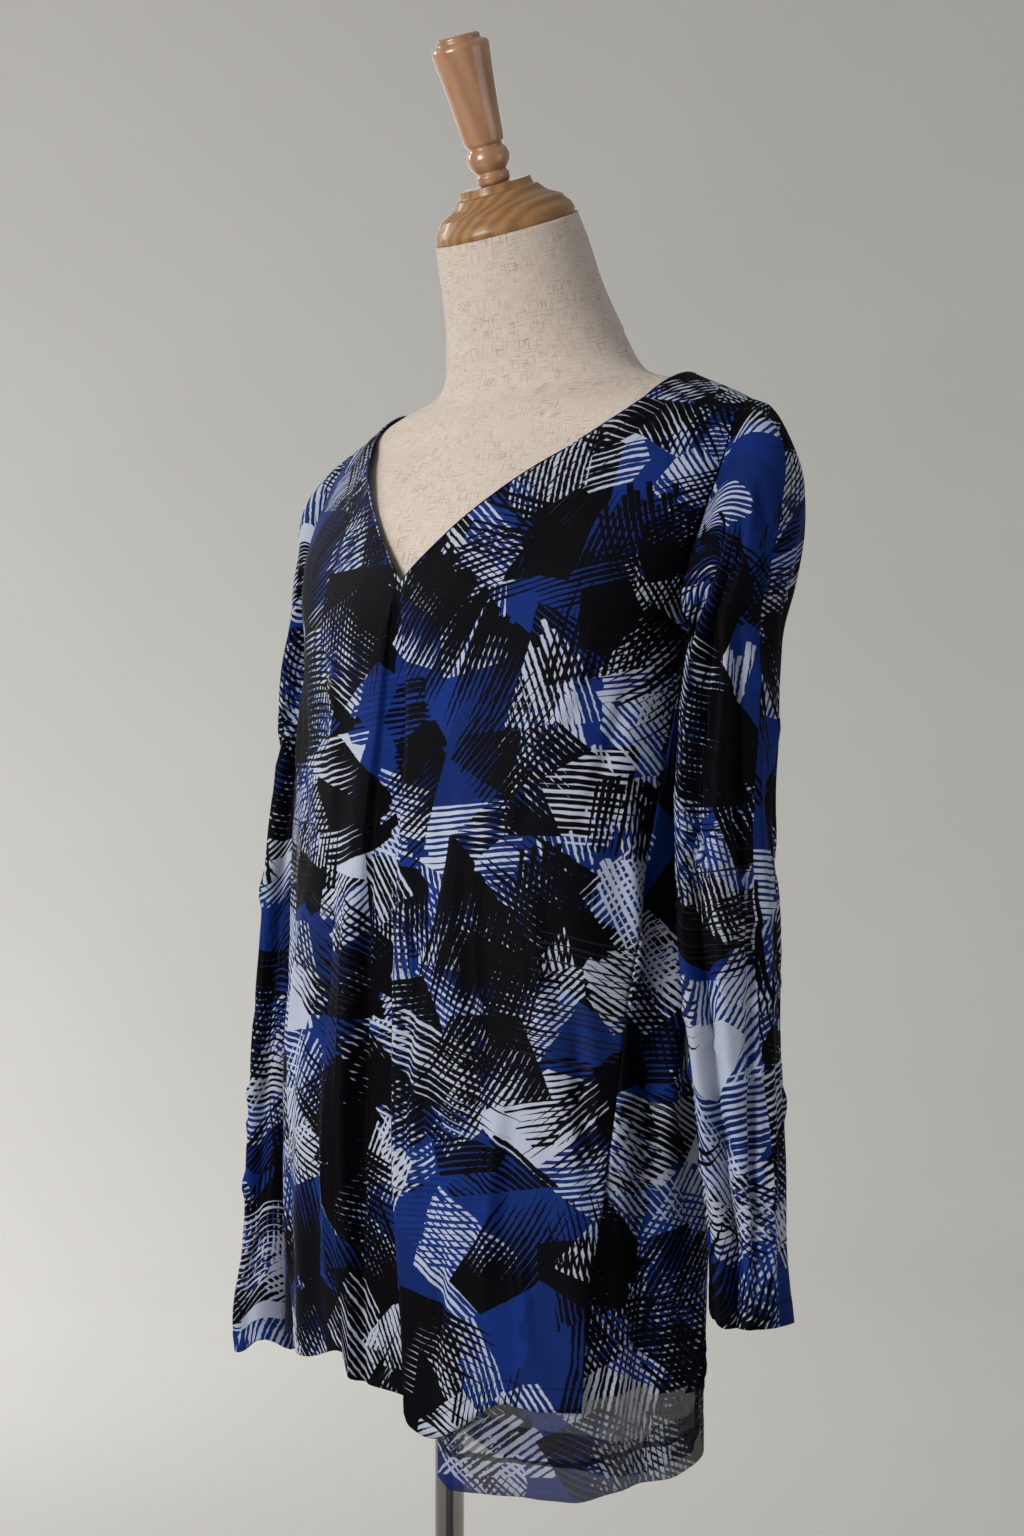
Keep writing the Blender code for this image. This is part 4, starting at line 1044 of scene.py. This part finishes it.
class Nodes:
    # A short way to write a material's nodes. Inputs are given in order or by name.

    def __init__(self, name):
        self.material = bpy.data.materials.new(name)
        self.material.use_nodes = True
        self.tree = self.material.node_tree

    def fill(self, node, inputs):
        for key, value in inputs.items() if isinstance(inputs, dict) else enumerate(inputs):
            if isinstance(value, bpy.types.NodeSocket):
                self.tree.links.new(value, node.inputs[key])
            else:
                node.inputs[key].default_value = value

    def node(self, kind, inputs=(), **settings):
        node = self.tree.nodes.new("ShaderNode" + kind)
        for key, value in settings.items():
            setattr(node, key, value)
        self.fill(node, inputs)
        return node.outputs

    def math(self, operation, *values):
        return self.node("Math", values, operation=operation)[0]

    def times(self, first, second):
        return self.math("MULTIPLY", first, second)

    def line(self, value, slope, offset):
        return self.math("MULTIPLY_ADD", value, slope, offset)

    def minus(self, first, second):
        return self.math("SUBTRACT", first, second)

    def wave(self, value, length):
        return self.math("SINE", self.times(value, 2.0 * math.pi / length))

    def vector(self, operation, first, second):
        return self.node("VectorMath", (first, second), operation=operation)[0]

    def blend(self, share, first, second):
        inputs = {"Factor": share, "A": first, "B": second}
        return self.node("Mix", inputs, data_type="RGBA")["Result"]

    def split(self, vector):
        return self.node("SeparateXYZ", (vector,))

    def join(self, x, y, z=0.0):
        return self.node("CombineXYZ", (x, y, z))[0]

    def length(self, x, y):
        return self.math("SQRT", self.math("ADD", self.times(x, x), self.times(y, y)))

    def turn(self, vector, angle, axis):
        inputs = {"Vector": vector, "Angle": angle}
        return self.node("VectorRotate", inputs, rotation_type=axis)[0]

    def noise(self, vector, scale, detail=1.0, dimensions="2D"):
        inputs = {"Vector": vector, "Scale": scale, "Detail": detail}
        return self.node("TexNoise", inputs, noise_dimensions=dimensions)["Fac"]

    def stretched_noise(self, vector, scales, dimensions="2D"):
        return self.noise(self.vector("MULTIPLY", vector, scales), 1.0, 2.0, dimensions)

    def cells(self, vector, size):
        inputs = {"Vector": vector, "Scale": 1.0 / size}
        cells = self.node("TexVoronoi", inputs, voronoi_dimensions="2D")
        return self.split(cells["Color"]), cells["Position"]

    def chance(self, vector):
        return self.node("TexWhiteNoise", {"Vector": vector}, noise_dimensions="2D")["Value"]

    def above(self, value, edge, softness):
        # 0 below the edge and 1 above it, with a soft step. A negative softness turns it
        # round: 1 below and 0 above.
        return self.node("Clamp", (self.line(value, 1.0 / softness, 0.5 - edge / softness),))[0]

    def surface(self, layer="surface"):
        return self.node("UVMap", uv_map=layer)["UV"]

    def place(self):
        return self.node("TexCoord")["Object"]

    def bump(self, height, strength, distance, **before):
        inputs = {"Height": height, "Strength": strength, "Distance": distance, **before}
        return self.node("Bump", inputs)["Normal"]

    def finish(self, colour, roughness, normal, **settings):
        named = {key.replace("_", " "): value for key, value in settings.items()}
        inputs = {"Base Color": colour, "Roughness": roughness, "Normal": normal, **named}
        self.fill(self.tree.nodes["Principled BSDF"], inputs)
        return self.material


def from_screen(red, green, blue):
    # A colour given as it shows on a screen, 0 to 255.
    linear = []
    for value in (red, green, blue):
        value /= 255.0
        linear.append(value / 12.92 if value <= 0.04045 else ((value + 0.055) / 1.055) ** 2.4)
    return (*linear, 1.0)


BLACK = from_screen(7, 6, 10)
GREY_BLACK = from_screen(32, 32, 38)
BLUE = from_screen(21, 49, 121)
DEEP_BLUE = from_screen(17, 39, 97)
WHITE = from_screen(180, 188, 207)

# Layers of brush strokes, from the lowest to the top one. Sizes are in metres. Fade is how
# much each patch thickens to a solid shape at one end, per metre.
# (seed u, seed v, patch size, pitch, stroke share, fade, share of patches shown, curve, colour)
STROKE_LAYERS = (
    (11.3, 4.7, 0.058, 0.0043, 0.46, 5.0, 0.58, 0.4, WHITE),
    (27.9, 9.1, 0.066, 0.0042, 0.44, 4.0, 0.34, 0.4, BLUE),
    (41.7, 17.3, 0.078, 0.0044, 0.62, 17.0, 0.68, 1.4, BLACK),
    (33.3, 61.9, 0.056, 0.0040, 0.50, 10.0, 0.30, 0.5, BLACK),
    (19.7, 52.3, 0.062, 0.0046, 0.32, 4.0, 0.20, 0.6, WHITE),
    (63.1, 21.7, 0.092, 0.0046, 0.66, 17.0, 0.42, 3.4, BLACK),
    (3.1, 35.9, 0.066, 0.0042, 0.46, 9.0, 0.22, 0.5, BLACK),
    (8.9, 77.3, 0.090, 0.0036, 0.16, 3.0, 0.14, 0.6, GREY_BLACK),
)
WHITE_GROUND = 0.065
BLACK_GROUND = 0.31
GROUND_PATCH = 0.052
GROUND_SEED = (5.3, 2.9, 0.0)
STROKE_WOBBLE = 0.13
STROKE_UNEVEN = 0.46
STROKE_DRY = 0.40
STROKE_EDGE = 0.16
LUCK_STEP = 91.0
DRY_ALONG = 90.0
DRY_STEP = 7.3
PATCH_REACH = 0.52
PATCH_RAGGED = 0.35
PATCH_END_EDGE = 0.0008
PATCH_SIDE_EDGE = 0.0006

# How far the strokes stray, finely and broadly (waves per metre, metres)
FINE_STRAY = (260.0, 0.0014)
BROAD_STRAY = (34.0, 0.0024)

# Pitch of the mesh's stitches and of the linen's threads
KNIT_PITCH = 0.0012
LINEN_PITCH = 0.0011

# The line where a turned-up hem ends: how far past the band it lies and how far it strays,
# and its (half width, darkness)
HEM_LINE_PAST = 0.002
HEM_LINE_STRAY = 0.004
HEM_LINE = (0.0008, 0.40)
TAIL_LINE = (0.0017, 0.86)


def stroke_layer(n, place, wobble, layer):
    seed_u, seed_v, size, pitch, share, fade, shown, curve, _ = layer
    moved = n.vector("ADD", place, (seed_u, seed_v, 0.0))
    dice, middle = n.cells(moved, size)
    from_middle = n.vector("SUBTRACT", moved, middle)
    local = n.split(n.turn(from_middle, n.times(dice[0], 2.0 * math.pi), "Z_AXIS"))
    bend = n.times(n.times(local[0], local[0]), n.line(dice[2], 2.0 * curve, -curve))
    across = n.math("ADD", local[1], bend)
    count = n.line(wobble, STROKE_WOBBLE, n.times(across, 1.0 / pitch))
    number = n.math("FLOOR", count)
    luck = n.chance(n.join(number, n.times(dice[1], LUCK_STEP)))
    from_stroke = n.math("ABSOLUTE", n.line(n.math("FRACT", count), 2.0, -1.0))
    dry = n.noise(n.join(n.times(local[0], DRY_ALONG), n.times(number, DRY_STEP)), 1.0)
    width = n.line(local[0], fade, share - STROKE_UNEVEN / 2.0 - STROKE_DRY / 2.0)
    width = n.line(dry, STROKE_DRY, n.line(luck, STROKE_UNEVEN, width))
    stroke = n.above(n.minus(width, from_stroke), 0.0, STROKE_EDGE)
    reach = n.line(luck, PATCH_RAGGED * size, PATCH_REACH * size)
    ends = n.above(n.minus(reach, n.math("ABSOLUTE", local[0])), 0.0, PATCH_END_EDGE)
    sides = n.above(n.minus(0.50 * size, n.math("ABSOLUTE", across)), 0.0, PATCH_SIDE_EDGE)
    here = n.math("LESS_THAN", dice[1], shown)
    return n.times(n.times(stroke, ends), n.times(sides, here))


def printed_cloth(name, hem_line=0.0, **settings):
    n = Nodes(name)
    uv = n.surface("print")
    ragged, wobble = n.noise(uv, FINE_STRAY[0]), n.noise(uv, BROAD_STRAY[0])
    fine_drift = n.line(ragged, FINE_STRAY[1], -FINE_STRAY[1] / 2.0)
    broad_drift = n.line(wobble, BROAD_STRAY[1], -BROAD_STRAY[1] / 2.0)
    place = n.vector("ADD", uv, n.join(fine_drift, broad_drift))
    dice, _ = n.cells(n.vector("ADD", place, GROUND_SEED), GROUND_PATCH)
    blue = n.blend(dice[1], BLUE, DEEP_BLUE)
    colour = n.blend(n.math("LESS_THAN", dice[0], WHITE_GROUND), blue, WHITE)
    colour = n.blend(n.math("GREATER_THAN", dice[0], 1.0 - BLACK_GROUND), colour, BLACK)
    for layer in STROKE_LAYERS:
        colour = n.blend(stroke_layer(n, place, wobble, layer), colour, layer[-1])
    parts = n.split(uv)
    knit = n.line(n.wave(parts[0], KNIT_PITCH), 0.35, n.wave(parts[1], KNIT_PITCH))
    tired = n.line(n.noise(uv, 9.0, 2.0), 0.16, 0.92)
    shade = n.times(n.line(knit, 0.05, 0.95), tired)
    if hem_line:
        # A dark stitched line where the turned-up hem ends
        hem = n.node("Attribute", attribute_name="edge_distance")["Fac"]
        half_line, strength = TAIL_LINE if hem_line == TAIL_BAND else HEM_LINE
        strayed = n.line(n.noise(uv, 55.0), HEM_LINE_STRAY, hem)
        off_line = n.math("ABSOLUTE", n.minus(strayed, hem_line + HEM_LINE_PAST))
        on_line = n.minus(1.0, n.above(off_line, half_line, 0.0005))
        shade = n.times(shade, n.line(on_line, -strength, 1.0))
    colour = n.node("VectorMath", {0: colour, "Scale": shade}, operation="SCALE")[0]
    fine = n.noise(uv, 1400.0)
    normal = n.bump(fine, 0.12, 0.0003, Normal=n.bump(knit, 0.25, 0.0002))
    return n.finish(colour, n.line(fine, 0.16, 0.55), normal, Specular_IOR_Level=0.045, **settings)


def linen_cover():
    n = Nodes("linen_cover")
    uv = n.surface()
    level = n.stretched_noise(uv, (105.0, 1150.0, 0.0))
    upright = n.stretched_noise(uv, (1150.0, 95.0, 0.0))
    slub = n.math("MAXIMUM", n.above(level, 0.66, 0.10), n.above(upright, 0.65, 0.10))
    slub = n.times(slub, n.line(n.noise(uv, 38.0, 2.0), 1.3, -0.15))
    pale = n.math("MAXIMUM", n.above(level, 0.36, -0.10), n.above(upright, 0.36, -0.10))
    colour = n.blend(n.noise(uv, 14.0, 2.0), from_screen(213, 200, 188), from_screen(202, 189, 176))
    colour = n.blend(n.times(pale, 0.5), colour, from_screen(222, 213, 202))
    colour = n.blend(n.times(slub, 0.85), colour, from_screen(150, 104, 74))
    parts = n.split(uv)
    weave = n.times(n.wave(parts[0], LINEN_PITCH), n.wave(parts[1], LINEN_PITCH))
    normal = n.bump(weave, 0.35, 0.00025)
    normal = n.bump(n.math("ADD", level, upright), 0.20, 0.0003, Normal=normal)
    rough = n.line(slub, -0.1, 0.9)
    return n.finish(colour, rough, normal, Sheen_Weight=0.12, Specular_IOR_Level=0.25)


# The wood's rings: how far beside the axis their middle lies, and how much they lean
RING_MIDDLE = 0.045
RING_LEAN = 0.35


def ringed_wood(name, lean, pale, dark, ring_scale, roughness, coat):
    # Growth rings and pores about an axis that leans with the neck.
    n = Nodes(name)
    upright = n.turn(n.vector("SUBTRACT", n.place(), CAP_SEAT), -lean, "X_AXIS")
    parts = n.split(upright)
    bend = n.noise(upright, 26.0, 2.0, "3D")
    beside = n.math("ADD", parts[0], RING_MIDDLE)
    radius = n.length(beside, n.line(parts[2], RING_LEAN, parts[1]))
    ring = n.math("SINE", n.line(bend, 5.0, n.times(radius, ring_scale)))
    grain = n.stretched_noise(upright, (900.0, 900.0, 60.0), "3D")
    share = n.line(grain, 0.5, n.minus(n.line(ring, 0.30, 0.38), 0.2))
    colour = n.blend(n.above(share, 0.45, 1.0), pale, dark)
    colour = n.blend(n.times(n.above(grain, 0.70, 0.08), 0.35), colour, dark)
    normal = n.bump(grain, 0.10, 0.0003)
    rough = n.line(grain, 0.12, roughness)
    return n.finish(colour, rough, normal, Coat_Weight=coat, Coat_Roughness=0.16)


def chrome_tube():
    n = Nodes("chrome_tube")
    uv = n.surface()
    scratch = n.stretched_noise(uv, (1500.0, 40.0, 0.0))
    colour = n.blend(scratch, from_screen(162, 157, 156), from_screen(144, 140, 139))
    rough = n.line(n.noise(uv, 22.0, 3.0), 0.07, 0.03)
    return n.finish(colour, rough, n.bump(scratch, 0.04, 0.0001), Metallic=1.0)


def brushed_plate():
    n = Nodes("brushed_plate")
    place = n.place()
    parts = n.split(place)
    round_and_up = n.join(n.times(n.length(parts[0], parts[1]), 2600.0), parts[2])
    rings = n.noise(round_and_up, 1.0, 2.0)
    dust = n.noise(place, 30.0, 3.0, "3D")
    colour = n.blend(rings, from_screen(176, 176, 178), from_screen(150, 150, 154))
    colour = n.blend(n.times(dust, 0.2), colour, from_screen(120, 118, 114))
    return n.finish(colour, n.line(dust, 0.2, 0.2), n.bump(rings, 0.08, 0.0002), Metallic=1.0)


def plain_wall(name, colour, darker):
    n = Nodes(name)
    place = n.place()
    colour = n.blend(n.noise(place, 1.3, 3.0, "3D"), colour, darker)
    normal = n.bump(n.noise(place, 160.0, 2.0, "3D"), 0.05, 0.001)
    return n.finish(colour, 0.9, normal, Specular_IOR_Level=0.1)


# The photograph's view: how far round the camera stands from the front towards the
# wearer's left, how far away and how high, and how far right of the pole it looks
VIEW_ANGLE_DEG = 47.0
VIEW_DISTANCE = 2.0
VIEW_HEIGHT = 1.14
VIEW_RIGHT = 0.043
IMAGE_HEIGHT_PX = 1536.0
FOCAL_PX = 2900.0
SENSOR_MM = 36.0

# Studio
WALL_RADIUS = 9.0
WALL_HEIGHT = 8.0
WALL_SEGMENTS = 96
COVE_RADIUS = 4.6
COVE_STEPS = 32
ROOM_LIGHT = 0.36
ROOM_COLOUR = (0.92, 0.95, 1.0, 1.0)

# Lamps stand so many degrees round from the camera, to the image's left
# (name, place: degrees, distance, height; aim: the same; size, power, colour, spread)
MIDDLE = (0.0, 0.0, 1.1)
LAMPS = (
    ("key", (45.0, 2.5, 1.55), MIDDLE, 1.2, 10.6, (1.0, 0.98, 0.95), 75.0),
    ("fill", (-62.0, 2.5, 1.5), MIDDLE, 1.6, 7.6, (0.95, 0.97, 1.0), 180.0),
    ("back_fill", (180.0, 3.0, 1.8), MIDDLE, 2.0, 2.8, (0.95, 0.97, 1.0), 75.0),
    ("wall_wash", (128.0, 4.6, 3.2), (168.0, 6.0, 0.8), 2.5, 270.0, (0.97, 0.98, 1.0), 180.0),
)


def build_studio():
    floor_radius = WALL_RADIUS - COVE_RADIUS
    profile = [(0.01, 0.0), (floor_radius, 0.0)]
    for step in range(1, COVE_STEPS + 1):
        turn = 0.5 * math.pi * step / COVE_STEPS
        radius = floor_radius + COVE_RADIUS * math.sin(turn)
        profile.append((radius, COVE_RADIUS - COVE_RADIUS * math.cos(turn)))
    profile.append((WALL_RADIUS, WALL_HEIGHT))
    points = []
    for radius, height in profile:
        for k in range(WALL_SEGMENTS):
            turn = 2.0 * math.pi * k / WALL_SEGMENTS
            points.append((radius * math.cos(turn), radius * math.sin(turn), height))
    faces = [corners[::-1] for _, _, corners in ring_quads(len(profile), WALL_SEGMENTS)]
    faces.insert(0, list(range(WALL_SEGMENTS)))
    material = plain_wall("studio_floor", from_screen(206, 203, 197), from_screen(200, 197, 190))
    make_piece("studio", points, faces, [material])


def around_view(turn_degrees, distance, height):
    turn = math.radians(VIEW_ANGLE_DEG - turn_degrees)
    return Vector((distance * math.sin(turn), -distance * math.cos(turn), height))


def light_studio():
    world = bpy.data.worlds.new("room")
    world.use_nodes = True
    background = world.node_tree.nodes["Background"]
    background.inputs["Color"].default_value = ROOM_COLOUR
    background.inputs["Strength"].default_value = ROOM_LIGHT
    bpy.context.scene.world = world
    for name, place, aim, size, power, colour, spread_degrees in LAMPS:
        light = bpy.data.lights.new(name, "AREA")
        light.shape = "DISK"
        light.size = size
        light.energy = power
        light.color = colour
        light.spread = math.radians(spread_degrees)
        lamp = bpy.data.objects.new(name, light)
        bpy.context.collection.objects.link(lamp)
        lamp.visible_camera = False
        lamp.location = around_view(*place)
        way = around_view(*aim) - lamp.location
        lamp.rotation_euler = way.to_track_quat("-Z", "Y").to_euler()


def set_camera():
    turn = math.radians(VIEW_ANGLE_DEG)
    data = bpy.data.cameras.new("photo_camera")
    data.sensor_width = SENSOR_MM
    data.sensor_fit = "AUTO"
    data.lens = FOCAL_PX * SENSOR_MM / IMAGE_HEIGHT_PX
    camera = bpy.data.objects.new("photo_camera", data)
    camera.location = (
        VIEW_DISTANCE * math.sin(turn) + VIEW_RIGHT * math.cos(turn),
        -VIEW_DISTANCE * math.cos(turn) + VIEW_RIGHT * math.sin(turn),
        VIEW_HEIGHT,
    )
    camera.rotation_euler = (math.pi / 2.0, 0.0, turn)
    bpy.context.collection.objects.link(camera)
    bpy.context.scene.camera = camera
    bpy.context.scene.view_settings.view_transform = "Standard"


def declare_sheet(piece, node):
    keep(piece, node)


def keep(piece, node):
    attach(piece, "root")
    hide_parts(node)


def main():
    opaque = printed_cloth("printed_mesh_look", CUFF_BAND)
    tail = printed_cloth("printed_mesh_tail", TAIL_BAND)
    sheer = printed_cloth("printed_mesh_single_layer", TAIL_BAND, Alpha=SHEER_ALPHA)
    doubled = printed_cloth("printed_mesh_doubled_hem", TAIL_BAND, Alpha=DOUBLED_ALPHA)
    heights = print_heights()
    front = build_panel("blouse_front", False, [opaque], heights)
    back = build_panel("blouse_back", True, [tail, sheer, doubled], heights)
    left = build_sleeve("sleeve_left", 1, [opaque])
    right = build_sleeve("sleeve_right", -1, [opaque])
    roll = build_neck_roll(printed_cloth("printed_mesh_roll"))
    form = build_form(linen_cover())
    lean = math.radians(NECK_LEAN_DEG)
    seat = Matrix.Translation(CAP_SEAT) @ Matrix.Rotation(lean, 4, "X")
    on_form = seat @ Matrix.Translation((0.0, 0.0, SEAM_GAP))
    on_cap = seat @ Matrix.Translation((0.0, 0.0, CAP_PROFILE[-1][1] + 2.0 * SEAM_GAP))
    pale, dark = from_screen(174, 130, 80), from_screen(128, 86, 48)
    oak = ringed_wood("oak_look", lean, pale, dark, 900.0, 0.38, 0.2)
    cap = build_turned("neck_cap_wood", CAP_PROFILE, on_form, oak)
    pale, dark = from_screen(187, 145, 111), from_screen(160, 115, 82)
    turned_wood = ringed_wood("turned_wood_look", lean, pale, dark, 420.0, 0.24, 0.6)
    finial = build_turned("finial_wood", FINIAL_PROFILE, on_cap, turned_wood)
    pole = build_pole(chrome_tube())
    base = build_turned("base_plate", BASE_PROFILE, Matrix.Identity(4), brushed_plate())
    keep(form, "dress_form")
    keep(cap, "neck_cap")
    keep(finial, "finial")
    keep(pole, "pole")
    keep(base, "base")
    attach(roll, "root")
    declare_sheet(front, "blouse_front")
    declare_sheet(back, "blouse_back")
    declare_sheet(left, "sleeve_left")
    declare_sheet(right, "sleeve_right")
    build_studio()
    light_studio()
    set_camera()


main()
